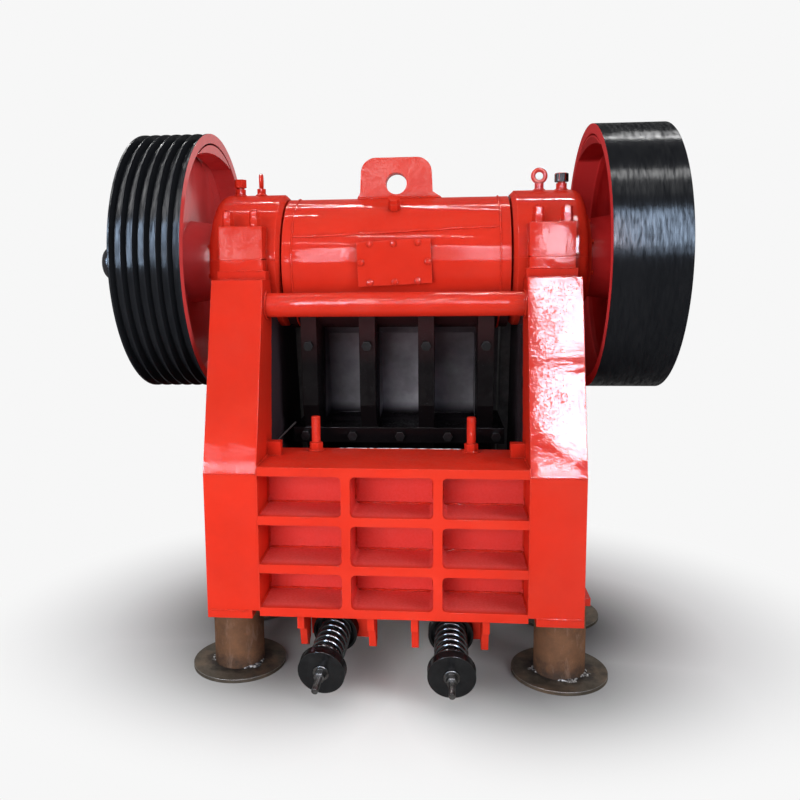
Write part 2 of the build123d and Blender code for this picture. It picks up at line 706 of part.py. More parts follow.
def pitman_slab():
    """The plate behind the swing jaw, thickening into the barrel."""
    z0 = CHAMBER_BOTTOM
    z1 = CHAMBER_TOP
    face0 = swing_face(z0) - JAW_THICKNESS
    face1 = swing_face(z1) - JAW_THICKNESS
    points = [
        (face0, z0),
        (face1, z1),
        (SHAFT_Y + BARREL_RADIUS * SLAB_MEETS_FRONT, BARREL_Z),
        (SHAFT_Y, BARREL_Z - BARREL_RADIUS * SLAB_MEETS_LOW),
        (face1 - SLAB_THICKNESS, z1 - RIB_NECK_DROP),
        (face0 - SLAB_THICKNESS, z0),
    ]
    half = BARREL_HALF_LENGTH - BARREL_COVER
    return plate_yz(points, -half, half)


def toggle_seat():
    """The cut that the toggle's end moves in."""
    seat_z = TOGGLE_HEIGHT + TOGGLE_RISE
    half = PITMAN_HALF_WIDTH + 1
    reach = TOGGLE_THICKNESS / 2 + TOGGLE_CLEARANCE
    deep = TOGGLE_END_Y + TOGGLE_SEAT_DEPTH
    return block(-half, half, TOGGLE_END_Y - 1, deep, seat_z - reach - 2 * THROW, seat_z + reach)


def pitman():
    half = PITMAN_HALF_WIDTH
    barrel_half = BARREL_HALF_LENGTH - BARREL_COVER
    body = bar_x(BARREL_RADIUS, -barrel_half, barrel_half, SHAFT_Y, BARREL_Z)
    body += pitman_slab()
    for number in range(BACK_RIBS):
        x = (number - (BACK_RIBS - 1) / 2) * BACK_RIB_SPREAD
        body += plate_yz(back_rib_points(), x - BACK_RIB_THICKNESS / 2, x + BACK_RIB_THICKNESS / 2)
    seat_z = TOGGLE_HEIGHT + TOGGLE_RISE
    seat_front = TOGGLE_END_Y + SEAT_BLOCK_DEPTH
    body += block(-half, half, TOGGLE_END_Y, seat_front, seat_z - SEAT_BLOCK_DROP, seat_z + SEAT_BLOCK_RISE)
    web_top = LOW_WEB_BOTTOM + LOW_WEB_HEIGHT
    web_front = swing_face(web_top) - JAW_THICKNESS - SLAB_THICKNESS / 2
    body += block(-half, half, LOW_WEB_Y, web_front, LOW_WEB_BOTTOM, web_top)
    body -= bar_x(BARREL_BORE, -barrel_half - 1, barrel_half + 1, SHAFT_Y, BARREL_Z)
    return body - toggle_seat()


def barrel_covers():
    inner = BARREL_HALF_LENGTH - BARREL_COVER
    cover = bar_x(BARREL_RADIUS, inner, BARREL_HALF_LENGTH, SHAFT_Y, BARREL_Z)
    cover -= bar_x(THROW_RADIUS + RUNNING, inner - 1, BARREL_HALF_LENGTH + 1, SHAFT_Y, BARREL_Z)
    return Compound([cover, mirror_x(cover)])


def lifting_lug():
    left = LUG_X - LUG_WIDTH / 2
    right = LUG_X + LUG_WIDTH / 2
    foot = BARREL_Z + BARREL_RADIUS
    top = foot + LUG_RISE
    flare = foot + LUG_FLARE_RISE
    outline = [
        (left - LUG_FLARE_LEFT, BARREL_Z),
        (left - LUG_FLARE_LEFT, foot),
        (left, flare),
        (left + LUG_TAPER, top),
        (right - LUG_TAPER, top),
        (right, flare),
        (right + LUG_FLARE_RIGHT, foot),
        (right + LUG_FLARE_RIGHT, BARREL_Z),
    ]
    face = Plane.XZ.offset(-SHAFT_Y - LUG_THICKNESS / 2) * make_face(Polyline(*outline, close=True))
    plate = extrude(face, amount=LUG_THICKNESS)
    plate = fillet(plate.edges().filter_by(Axis.Y).group_by(Axis.Z)[-1], LUG_CORNER)
    plate -= bar_x(BARREL_RADIUS + SEATED, -LUG_WIDTH, LUG_WIDTH, SHAFT_Y, BARREL_Z)
    hole = Cylinder(LUG_HOLE_RADIUS, 2 * LUG_THICKNESS, rotation=(90, 0, 0))
    return plate - Pos(LUG_X, SHAFT_Y, foot + LUG_HOLE_RISE) * hole


def cover_plate():
    """A flat plate on a pad, seated on the barrel's rear line."""
    t = COVER_THICKNESS
    face = -BARREL_RADIUS - t / 2
    plate = Pos(0, face, 0) * Rot(0, COVER_TURN, 0) * Box(COVER_WIDTH, t, COVER_HEIGHT)
    pad = Box(COVER_WIDTH - 2 * COVER_PAD_INSET, COVER_PAD_DEPTH, COVER_HEIGHT - 2 * COVER_PAD_INSET)
    pad = Pos(0, face + COVER_PAD_DEPTH / 2, 0) * pad
    plate = Pos(COVER_X, SHAFT_Y, BARREL_Z) * (plate + pad)
    return plate - bar_x(BARREL_RADIUS + SEATED, -COVER_WIDTH, COVER_WIDTH, SHAFT_Y, BARREL_Z)


def jaw_studs():
    """Nuts high on the rear edges of the pitman's back ribs, and a row on the bar across them."""
    nut = Rot(90, 0, 0) * Pos(0, 0, SEATED) * hexagon(2 * STUD_RADIUS, STUD_NUT)
    top, low = back_rib_points()[1:3]
    lean = math.degrees(math.atan2(low[0] - top[0], top[1] - low[1]))
    y = on_line(STUD_HEIGHT, top[1], top[0], low[1], low[0])
    solids = []
    for number in range(BACK_RIBS):
        x = (number - (BACK_RIBS - 1) / 2) * BACK_RIB_SPREAD
        solids.append(Pos(x, y, STUD_HEIGHT) * Rot(lean, 0, 0) * nut)
    z = LOW_WEB_BOTTOM + LOW_WEB_HEIGHT / 2
    for number in range(LOW_STUDS):
        x = LOW_STUD_X + (number - (LOW_STUDS - 1) / 2) * LOW_STUD_SPREAD
        solids.append(Pos(x, LOW_WEB_Y, z) * nut)
    return Compound(solids)


def oil_plug():
    """A stepped hexagon plug behind the lug."""
    plug = hexagon(OIL_PLUG_SIZE, OIL_PLUG_BASE)
    plug += Pos(0, 0, OIL_PLUG_BASE) * hexagon(OIL_PLUG_HEAD_SIZE, OIL_PLUG_HEIGHT - OIL_PLUG_BASE)
    plug = Pos(0, 0, BARREL_RADIUS + SEATED) * plug
    return Pos(OIL_PLUG_X, SHAFT_Y, BARREL_Z) * Rot(OIL_PLUG_TURN, 0, 0) * plug


parts["pitman"] = pitman()
parts["barrel_covers"] = barrel_covers()
parts["lifting_lug"] = lifting_lug()
parts["cover_plate"] = cover_plate()
parts["jaw_studs"] = jaw_studs()
parts["oil_plug"] = oil_plug()


# Toggle, wedge block and adjusting screws
BLOCK_FRONT = WALL_DEPTH + WALL_PLATE + WEDGE_TOP_DEPTH + BLOCK_DEPTH


def toggle_block():
    z0 = TOGGLE_HEIGHT - BLOCK_HEIGHT / 2
    z1 = TOGGLE_HEIGHT + BLOCK_HEIGHT / 2
    back = WALL_DEPTH + WALL_PLATE
    outline = [
        (back + WEDGE_BOTTOM_DEPTH, z0),
        (BLOCK_FRONT, z0),
        (BLOCK_FRONT, z1),
        (back + WEDGE_TOP_DEPTH, z1),
    ]
    body = plate_yz(outline, -INSIDE_HALF_WIDTH, INSIDE_HALF_WIDTH)
    half = PITMAN_HALF_WIDTH
    return body - bar_x(TOGGLE_THICKNESS / 2 + SEATED, -half, half, BLOCK_FRONT, TOGGLE_HEIGHT)


def adjusting_wedge():
    z0 = TOGGLE_HEIGHT - BLOCK_HEIGHT / 2
    z1 = TOGGLE_HEIGHT + BLOCK_HEIGHT / 2
    back = WALL_DEPTH + WALL_PLATE + SEATED
    outline = [
        (back, z0),
        (back + WEDGE_BOTTOM_DEPTH - 2 * SEATED, z0),
        (back + WEDGE_TOP_DEPTH - 2 * SEATED, z1),
        (back, z1),
    ]
    return plate_yz(outline, -PITMAN_HALF_WIDTH, PITMAN_HALF_WIDTH)


def adjusting_screws():
    z0 = TOGGLE_HEIGHT + BLOCK_HEIGHT / 2
    solids = []
    for x in SCREW_PLACES:
        screw = upstanding(SCREW_TOP - z0, SCREW_RADIUS)
        nut = Pos(0, 0, WALL_TOP - z0) * hexagon(2 * SCREW_NUT, SCREW_NUT_HEIGHT)
        solids.append(Pos(x, SCREW_Y, z0) * (screw + nut))
    return Compound(solids)


def toggle_plate():
    y0 = BLOCK_FRONT
    y1 = TOGGLE_END_Y + TOGGLE_SEAT_DEPTH - THROW - TOGGLE_CLEARANCE - TOGGLE_THICKNESS / 2
    rise = TOGGLE_RISE
    half = PITMAN_HALF_WIDTH - TOGGLE_SIDE_GAP
    r = TOGGLE_THICKNESS / 2
    lean = math.atan2(rise, y1 - y0)
    dy, dz = r * math.sin(lean) * -1, r * math.cos(lean)
    z0, z1 = TOGGLE_HEIGHT, TOGGLE_HEIGHT + rise
    outline = [
        (y0 - dy, z0 - dz),
        (y1 - dy, z1 - dz),
        (y1 + dy, z1 + dz),
        (y0 + dy, z0 + dz),
    ]
    web = plate_yz(outline, -half, half)
    return web + bar_x(r, -half, half, y0, z0) + bar_x(r, -half, half, y1, z1)


parts["toggle_block"] = toggle_block()
parts["adjusting_wedge"] = adjusting_wedge()
parts["adjusting_screws"] = adjusting_screws()
parts["toggle_plate"] = toggle_plate()


# Tension rods, springs and their brackets. Each is built along +Y from the cup and then leaned.
ROD_PLACES = ((ROD_X_LEFT, ROD_YAW_LEFT), (ROD_X_RIGHT, ROD_YAW_RIGHT))
SPRING_END = CUP_WALL + SPRING_LENGTH + 2 * SEATED


def leaned(place, shape):
    x, yaw = place
    return Pos(x, CUP_Y, CUP_Z) * Rot(0, 0, yaw) * Rot(ROD_LEAN, 0, 0) * shape


def along_y(radius, y0, y1):
    return Pos(0, (y0 + y1) / 2, 0) * Cylinder(radius, y1 - y0, rotation=(90, 0, 0))


def tension_rod():
    nut = Pos(0, -SEATED, 0) * Rot(90, 0, 0) * hexagon(ROD_NUT, ROD_NUT_HEIGHT)
    return along_y(ROD_RADIUS, ROD_END, ROD_LENGTH) + nut


def spring():
    turns = SPRING_TURNS
    pitch = (SPRING_LENGTH - 2 * SPRING_WIRE) / turns
    path = Helix(pitch=pitch, height=pitch * turns, radius=SPRING_RADIUS - SPRING_WIRE)
    start = path @ 0
    wire = sweep(Plane(origin=start, z_dir=path % 0) * RegularPolygon(SPRING_WIRE, 6), path=path)
    base = CUP_WALL + SEATED
    return Pos(0, base + SPRING_WIRE, 0) * Rot(-90, 0, 0) * wire


def spring_cup():
    cup = along_y(CUP_RADIUS, 0, CUP_DEPTH) - along_y(CUP_RADIUS - CUP_WALL, CUP_WALL, CUP_DEPTH + 1)
    return cup - along_y(ROD_RADIUS + SEATED, -1, CUP_DEPTH)


def spring_seat():
    """The upper cup, open to the rear."""
    y1 = SPRING_END + SEAT_WALL
    seat = along_y(SEAT_RADIUS, y1 - SEAT_DEPTH, y1)
    seat -= along_y(SEAT_RADIUS - SEAT_WALL, y1 - SEAT_DEPTH - 1, SPRING_END)
    return seat - along_y(ROD_RADIUS + SEATED, y1 - SEAT_DEPTH, y1 + 1)


def spring_bracket(place, inner, outer):
    """Two hanging ears under the wall and the cross plate that the spring pushes on."""
    y0 = SPRING_END + SEAT_WALL + SEATED
    x = place[0]
    t = BRACKET_THICKNESS
    low, high = x - CROSS_PLATE_REACH, max(inner, outer)
    cross = Pos(0, y0 + CROSS_PLATE / 2, 0) * Box(FAR, CROSS_PLATE, 2 * FAR)
    cross -= along_y(ROD_RADIUS + ROD_HOLE, y0 - 1, y0 + CROSS_PLATE + 1)
    shape = leaned(place, cross) & block(low, high, 0, FAR, WALL_BOTTOM - CROSS_PLATE_DROP, WALL_BOTTOM)
    front = BRACKET_BACK + BRACKET_DEPTH
    neck = WALL_BOTTOM - BRACKET_NECK_DROP
    edge = WALL_BOTTOM - BRACKET_EDGE_DROP
    tip = WALL_BOTTOM - BRACKET_DROP
    middle = (BRACKET_NECK_BACK + BRACKET_NECK_FRONT) / 2
    cut = BRACKET_TIP_CUT
    outline = [
        (BRACKET_BACK, WALL_BOTTOM),
        (BRACKET_BACK, edge),
        (BRACKET_NECK_BACK, neck),
        (middle - cut, tip + cut),
        (middle + cut, tip),
        (BRACKET_NECK_FRONT + cut, tip + cut),
        (BRACKET_NECK_FRONT + cut, neck),
        (front, edge),
        (front, WALL_BOTTOM),
    ]
    for ear in (inner, outer):
        shape += plate_yz(outline, ear - t / 2, ear + t / 2)
    return shape


for name, shape in (("tension_rods", tension_rod()), ("springs", spring()), ("spring_cups", spring_cup())):
    parts[name] = Compound([leaned(place, shape) for place in ROD_PLACES])
parts["spring_seats"] = Compound([leaned(place, spring_seat()) for place in ROD_PLACES])
parts["spring_bracket_left"] = spring_bracket(ROD_PLACES[0], -BRACKET_INNER_X, -BRACKET_OUTER_X)
parts["spring_bracket_right"] = spring_bracket(ROD_PLACES[1], BRACKET_INNER_X, BRACKET_OUTER_X)


# Stands
def stand_places():
    return [(s * x, y) for x, y in (REAR_STAND, FRONT_STAND) for s in (1, -1)]


def stand_pipes():
    height = FRAME_BOTTOM - FOOT_PLATE - DISC_THICKNESS
    pipe = Cylinder(PIPE_RADIUS, height) - Cylinder(PIPE_RADIUS - PIPE_WALL, height)
    return Compound([Pos(x, y, DISC_THICKNESS + height / 2) * pipe for x, y in stand_places()])


def stand_discs():
    disc = Cylinder(DISC_RADIUS, DISC_THICKNESS)
    return Compound([Pos(x, y, DISC_THICKNESS / 2) * disc for x, y in stand_places()])


def foot_plates():
    """Plates on the pipes under the frame; the rear ones start narrow under the posts."""
    inner = INSIDE_HALF_WIDTH + FOOT_INSET
    post = INSIDE_HALF_WIDTH + POST_WIDTH
    z0 = FRAME_BOTTOM - FOOT_PLATE
    rear_x, rear_y = REAR_STAND
    front_x, front_y = FRONT_STAND
    rear = block(inner, post, 0, FOOT_STEP, z0, FRAME_BOTTOM)
    rear += block(inner, rear_x + PIPE_RADIUS, FOOT_STEP, rear_y + FOOT_LENGTH / 2, z0, FRAME_BOTTOM)
    half = FOOT_LENGTH / 2
    front = block(inner, front_x + PIPE_RADIUS, front_y - half, front_y + half, z0, FRAME_BOTTOM)
    return Compound([rear, front, mirror_x(rear), mirror_x(front)])


parts["stand_pipes"] = stand_pipes()
parts["stand_discs"] = stand_discs()
parts["foot_plates"] = foot_plates()

# Overall box, which sets the origin
LEFT_END = -(WHEEL_INNER_X + WHEEL_WIDTH + DRIVE_HUB_REACH)
RIGHT_END = WHEEL_INNER_X + WHEEL_WIDTH + PLAIN_HUB_REACH
LEAN = math.radians(ROD_LEAN)
REAR_END = CUP_Y + ROD_END * math.cos(LEAN) - ROD_RADIUS * math.sin(LEAN)
ORIGIN = Pos(-(LEFT_END + RIGHT_END) / 2, -(REAR_END + FRAME_LENGTH) / 2, 0)

os.makedirs("parts", exist_ok=True)
for name, shape in parts.items():
    export_step(ORIGIN * shape, f"parts/{name}.step")
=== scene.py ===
import math
import random

import bmesh
import bpy
from mathutils import Matrix, Vector

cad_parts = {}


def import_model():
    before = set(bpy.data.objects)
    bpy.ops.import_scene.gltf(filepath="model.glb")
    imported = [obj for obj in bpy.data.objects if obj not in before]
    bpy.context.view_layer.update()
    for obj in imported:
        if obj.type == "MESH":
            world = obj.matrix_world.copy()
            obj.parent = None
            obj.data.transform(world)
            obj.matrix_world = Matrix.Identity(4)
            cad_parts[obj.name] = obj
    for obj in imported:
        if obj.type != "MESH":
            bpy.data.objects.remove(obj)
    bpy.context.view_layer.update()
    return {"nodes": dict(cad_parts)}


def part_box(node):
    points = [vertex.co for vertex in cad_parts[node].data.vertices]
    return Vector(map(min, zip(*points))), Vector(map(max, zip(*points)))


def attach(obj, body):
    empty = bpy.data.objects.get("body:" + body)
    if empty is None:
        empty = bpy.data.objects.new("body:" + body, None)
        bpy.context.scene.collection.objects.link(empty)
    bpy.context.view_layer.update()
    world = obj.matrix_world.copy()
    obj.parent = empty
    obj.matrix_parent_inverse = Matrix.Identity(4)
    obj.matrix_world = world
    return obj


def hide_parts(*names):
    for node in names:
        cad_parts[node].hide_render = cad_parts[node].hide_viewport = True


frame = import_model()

NODES = frame["nodes"]
random.seed(7)

# Places are written as in the part's source: millimetres, X from the machine's middle, Y from its rear face
wall_low, wall_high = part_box("rear_wall")
ZERO = Vector(((wall_low.x + wall_high.x) / 2, wall_low.y, 0))
SHAFT = (500, 1376)
BARREL = (500, 1364)


def at(x, y, z):
    """A place in the scene, in metres, from one in the machine's millimetres."""
    return ZERO + Vector((x, y, z)) / 1000


# The camera as fitted to the photograph; the shifts are shares of the sensor's width
CAMERA_PLACE = (144, -2332.3, 1335.3)
YAW, PITCH, ROLL = (math.radians(degrees) for degrees in (-5.3763, 7.2402, -0.6066))
LENS, SENSOR = 35.87, 36
SHIFT_X, SHIFT_Y = 0.04376, -0.03359


def camera():
    """Looks at the machine as the photograph does."""
    ahead = Vector((math.sin(YAW) * math.cos(PITCH), math.cos(YAW) * math.cos(PITCH), -math.sin(PITCH)))
    level = Vector((math.cos(YAW), -math.sin(YAW), 0))
    steep = level.cross(ahead)
    right = math.cos(ROLL) * level + math.sin(ROLL) * steep
    up = math.cos(ROLL) * steep - math.sin(ROLL) * level
    data = bpy.data.cameras.new("camera")
    data.lens, data.sensor_width = LENS, SENSOR
    data.shift_x, data.shift_y = SHIFT_X, SHIFT_Y
    data.clip_end = 200
    cam = bpy.data.objects.new("camera", data)
    turn = Matrix((right, up, -ahead)).transposed()
    cam.matrix_world = Matrix.Translation(at(*CAMERA_PLACE)) @ turn.to_4x4()
    bpy.context.scene.collection.objects.link(cam)
    bpy.context.scene.camera = cam


camera()


# Node helpers
class Tree:
    """A material's nodes, with short calls for the few kinds used here."""

    def __init__(self, name):
        self.material = bpy.data.materials.new(name)
        self.material.use_nodes = True
        self.tree = self.material.node_tree
        self.shader = self.tree.nodes["Principled BSDF"]
        self.place = self.add("TexCoord").outputs["Object"]

    def add(self, kind, inputs=None, **values):
        node = self.tree.nodes.new("ShaderNode" + kind)
        for key, value in values.items():
            setattr(node, key, value)
        for key, value in (inputs or {}).items():
            self.put(node.inputs[key], value)
        return node

    def put(self, socket, value):
        if isinstance(value, bpy.types.NodeSocket):
            self.tree.links.new(value, socket)
        else:
            socket.default_value = value

    def noise(self, scale, detail=3.0, rough=0.55, stretch=None):
        place = self.place
        if stretch:
            place = self.add("VectorMath", {0: place, 1: stretch}, operation="MULTIPLY").outputs[0]
        inputs = {"Vector": place, "Scale": scale, "Detail": detail, "Roughness": rough}
        return self.add("TexNoise", inputs).outputs["Fac"]

    def ramp(self, value, low, high, to_low=0.0, to_high=1.0):
        inputs = {"Value": value, "From Min": low, "From Max": high, "To Min": to_low, "To Max": to_high}
        return self.add("MapRange", inputs).outputs["Result"]

    def math(self, operation, a, b=0.0):
        return self.add("Math", {0: a, 1: b}, operation=operation).outputs[0]

    def mix(self, factor, a, b):
        a = a if isinstance(a, bpy.types.NodeSocket) else (*a, 1)
        b = b if isinstance(b, bpy.types.NodeSocket) else (*b, 1)
        return self.add("Mix", {0: factor, 6: a, 7: b}, data_type="RGBA").outputs[2]

    def radius(self, y, z):
        """Distance from a line along X, in metres."""
        flat = self.add("VectorMath", {0: self.place, 1: (0, 1, 1)}, operation="MULTIPLY").outputs[0]
        centre = at(0, y, z)
        inputs = {0: flat, 1: (0, centre.y, centre.z)}
        return self.add("VectorMath", inputs, operation="DISTANCE").outputs["Value"]

    def axis(self, name):
        return self.add("SeparateXYZ", {0: self.place}).outputs[name]

    def upward(self):
        normal = self.add("NewGeometry").outputs["Normal"]
        return self.add("SeparateXYZ", {0: normal}).outputs["Z"]

    def rounded(self, radius):
        """The normal, with the object's edges rounded off."""
        return self.add("Bevel", {"Radius": radius}, samples=4).outputs["Normal"]

    def edges(self, soft):
        """1 where the rounded normal leaves the face's own, 0 elsewhere."""
        hard = self.add("NewGeometry").outputs["Normal"]
        same = self.add("VectorMath", {0: soft, 1: hard}, operation="DOT_PRODUCT").outputs["Value"]
        return self.ramp(same, 0.995, 0.93)

    def bump(self, height, distance, strength=1.0, normal=None):
        inputs = {"Height": height, "Distance": distance, "Strength": strength}
        if normal:
            inputs["Normal"] = normal
        return self.add("Bump", inputs).outputs["Normal"]

    def product(self, a, b):
        return self.math("MULTIPLY", a, b)

    def darker(self, share, color):
        """The colour with this share of it gone dark."""
        return self.mix(share, color, NEAR_BLACK)

    def finish(self, color, roughness, normal=None, metallic=0.0,
               coat=0.0, coat_roughness=0.03, specular=0.0):
        shader = self.shader
        self.put(shader.inputs["Base Color"], color)
        self.put(shader.inputs["Roughness"], roughness)
        self.put(shader.inputs["Metallic"], metallic)
        shader.inputs["Specular IOR Level"].default_value = specular
        shader.inputs["Coat Weight"].default_value = coat
        shader.inputs["Coat Roughness"].default_value = coat_roughness
        if normal:
            self.put(shader.inputs["Normal"], normal)
            if coat:
                self.put(shader.inputs["Coat Normal"], normal)
        return self.material


RED = (0.79, 0.036, 0.017)
WORN_RED = (0.86, 0.10, 0.065)
DUST = (0.50, 0.12, 0.09)
# Greys of painted light on the pitman's oily back: the upper one, and a lighter one low down
PAINTED_LIGHT_GREY, PAINTED_LOW_LIGHT_GREY = (0.225, 0.217, 0.24), (0.48, 0.465, 0.51)
BLACK = (0.0095, 0.0105, 0.013)
NEAR_BLACK = (0.001, 0.001, 0.001)
OIL = (0.012, 0.0115, 0.014)
BRUSHED = (0.35, 1.0, 0.35)  # stretches noise into the streaks that a brush leaves


def paint_layers(t, base, dust_amount):
    """Brushed enamel: uneven thickness, a little dust where it lies, and painted shade towards the top and
    in crevices.
    """
    cloud = t.noise(4.5, 5, 0.6)
    deep = tuple(0.84 * c for c in base)
    color = t.mix(t.ramp(cloud, 0.3, 0.75), deep, base)
    streak = t.ramp(t.noise(16, 4, 0.6, stretch=BRUSHED), 0.42, 0.72)
    color = t.mix(t.product(streak, 0.35), color, (base[0] * 0.93, base[1] * 1.5, base[2] * 1.6))
    lying = t.ramp(t.upward(), 0.35, 1.0)
    speck = t.ramp(t.noise(70, 6, 0.7), 0.45, 0.75)
    dusty = t.product(t.product(lying, speck), dust_amount)
    color = t.mix(dusty, color, DUST)
    # Painted shade: up to 17 % darker from 0.70 m to 0.98 m and above
    color = t.darker(t.ramp(t.axis("Z"), 0.70, 0.98, 0.0, 0.17), color)
    # Painted shade in corners and crevices, found by ambient occlusion, laid on in patches
    corner = t.add("AmbientOcclusion", {"Distance": 0.035}, samples=4).outputs["AO"]
    patches = t.ramp(t.noise(20, 4, 0.6), 0.3, 0.6, 0.4, 1.0)
    painted_crevice_shade = t.product(t.ramp(corner, 0.35, 0.85, 0.75, 0.0), patches)
    return t.mix(painted_crevice_shade, color, tuple(0.22 * c for c in base))


def enamel_relief(t, soft, grain=1.0, waves=1.0):
    """Orange peel, brush strokes and slow waves, as thick enamel dries."""
    rough = t.ramp(t.noise(9, 3, 0.6), 0.42, 0.62, 0.35, 1.0)
    rough = t.product(rough, t.ramp(t.axis("X"), ZERO.x - 0.15, ZERO.x + 0.4, 0.4, 1.0))
    peel = t.bump(t.product(t.noise(150, 1, 0.5), rough), 0.00022 * grain, 0.6, soft)
    strokes = t.bump(t.noise(60, 2, 0.5, stretch=(0.35, 1.0, 1.0)), 0.00016 * grain, 0.6, peel)
    return t.bump(t.noise(13, 1, 0.5), 0.0009 * waves, 0.6, strokes)


def dry_spots(t, low, high):
    """Gloss that drops in specks where the spray fell dry, mostly on the right post's inner part."""
    speck = t.noise(165, 2, 0.6)
    field = t.noise(8, 3, 0.6)
    inner = t.ramp(t.axis("X"), ZERO.x + 0.42, ZERO.x + 0.52, 0.17, 0.0)
    value = t.math("ADD", t.math("ADD", speck, t.product(field, 0.5)), inner)
    return t.ramp(value, 0.83, 0.92, high, low)


def red_paint(name="red_enamel", grain=1.0, gloss=0.2, dry=0.16, cells=False):
    """Thick glossy enamel; a higher grain lies rougher. In the wall's cells it is thinner and dusty, with a
    painted sheen, pinker and lighter on the cell floors.
    """
    t = Tree(name)
    soft = t.rounded(0.0035)
    color = paint_layers(t, RED, 0.22)
    if cells:
        depth = t.ramp(t.axis("Y"), ZERO.y + 0.006, ZERO.y + 0.03)
        inside = t.product(depth, t.ramp(t.axis("Z"), 0.728, 0.734, 1.0, 0.0))
        # Dust and painted sheen: the cells' faces are pinker, and the upward ones lighter still
        cell_dust_and_sheen = t.mix(t.ramp(t.upward(), 0.5, 0.9), (0.76, 0.066, 0.060), (0.84, 0.125, 0.115))
        grainy = t.ramp(t.noise(130, 4, 0.65), 0.35, 0.65, 0.6, 1.0)
        color = t.mix(t.product(inside, grainy), color, cell_dust_and_sheen)
    # Painted shade: the right post is up to 15 % darker below 1.22 m
    painted_shade_below = t.ramp(t.axis("Z"), 1.22, 1.30, 0.15, 0.0)
    color = t.darker(t.product(t.ramp(t.axis("X"), ZERO.x + 0.25, ZERO.x + 0.42), painted_shade_below), color)
    worn = t.product(t.edges(soft), t.ramp(t.noise(45, 4), 0.35, 0.6, 0.05, 0.45))
    color = t.mix(worn, color, WORN_RED)
    roughness = t.ramp(t.noise(14, 4), 0.3, 0.8, 0.30, 0.48)
    done = t.finish(color, roughness, enamel_relief(t, soft, grain), coat=gloss)
    t.put(t.shader.inputs["Coat Weight"], dry_spots(t, dry * gloss, 1.15 * gloss))
    return done


# Radii on the wheels, in metres: where the tread's black gives way to the red faces, and where the
# flywheel's red gives way to painted shade in its hollow
TREAD_PAINT = (0.4105, 0.4125)
HOLLOW_SHADE_RADII = (0.398, 0.402)


def wheel_paint():
    """Brushed black tread and grooves, red side faces. Painted light and shade: the left wheel's red is
    lighter, the right wheel's red and tread darker, and the flywheel's hollow darkest.
    """
    t = Tree("wheel_enamel")
    soft = t.rounded(0.0025)
    normal = t.add("NewGeometry").outputs["True Normal"]
    sideways = t.math("ABSOLUTE", t.add("SeparateXYZ", {0: normal}).outputs["X"])
    radius = t.radius(*SHAFT)
    outside = t.ramp(radius, *TREAD_PAINT)
    black = t.product(outside, t.ramp(sideways, 0.97, 0.985, 1.0, 0.0))
    right = t.ramp(t.axis("X"), ZERO.x - 0.1, ZERO.x + 0.1)
    hollow = t.product(right, t.ramp(radius, *HOLLOW_SHADE_RADII, 1.0, 0.0))
    # Painted light: the left wheel's red is lighter and pinker than the frame's
    red = paint_layers(t, (0.90, 0.098, 0.098), 0.2)
    # Painted shade: the right wheel's red is darker
    red = t.mix(right, red, (0.60, 0.042, 0.044))
    # Painted shade in the flywheel's hollow
    deep = t.mix(t.ramp(t.noise(11, 4), 0.35, 0.7), (0.31, 0.011, 0.012), (0.40, 0.018, 0.018))
    red = t.mix(hollow, red, deep)
    dark = t.mix(t.ramp(t.noise(9, 5, stretch=(1, 0.3, 0.3)), 0.35, 0.8), BLACK, (0.016, 0.017, 0.020))
    # Painted shade: the right wheel's tread is 40 % darker
    dark = t.darker(t.product(right, 0.4), dark)
    color = t.mix(black, red, dark)
    roughness = t.ramp(t.noise(60, 5, 0.7, stretch=(3, 0.4, 0.4)), 0.3, 0.75, 0.25, 0.45)
    tool_marks = t.noise(300, 2, 0.5, stretch=(1.0, 0.02, 0.02))
    lines = t.bump(t.product(tool_marks, black), 0.00010, 0.7, soft)
    strokes = t.noise(120, 3, 0.65, stretch=(1.0, 0.16, 0.16))
    relief = t.bump(strokes, 0.0003, 0.5, lines)
    waves = t.bump(t.noise(13, 1, 0.5), 0.0007, 0.6, relief)
    done = t.finish(color, roughness, waves, coat=0.2, coat_roughness=0.16)
    brushed = t.ramp(strokes, 0.34, 0.68, 0.018, 0.13)
    faces = t.product(t.ramp(black, 0, 1, 0.6, 0), t.ramp(right, 0, 1, 1.0, 0.05))
    t.put(t.shader.inputs["Coat Weight"], t.math("ADD", t.product(black, brushed), faces))
    return done


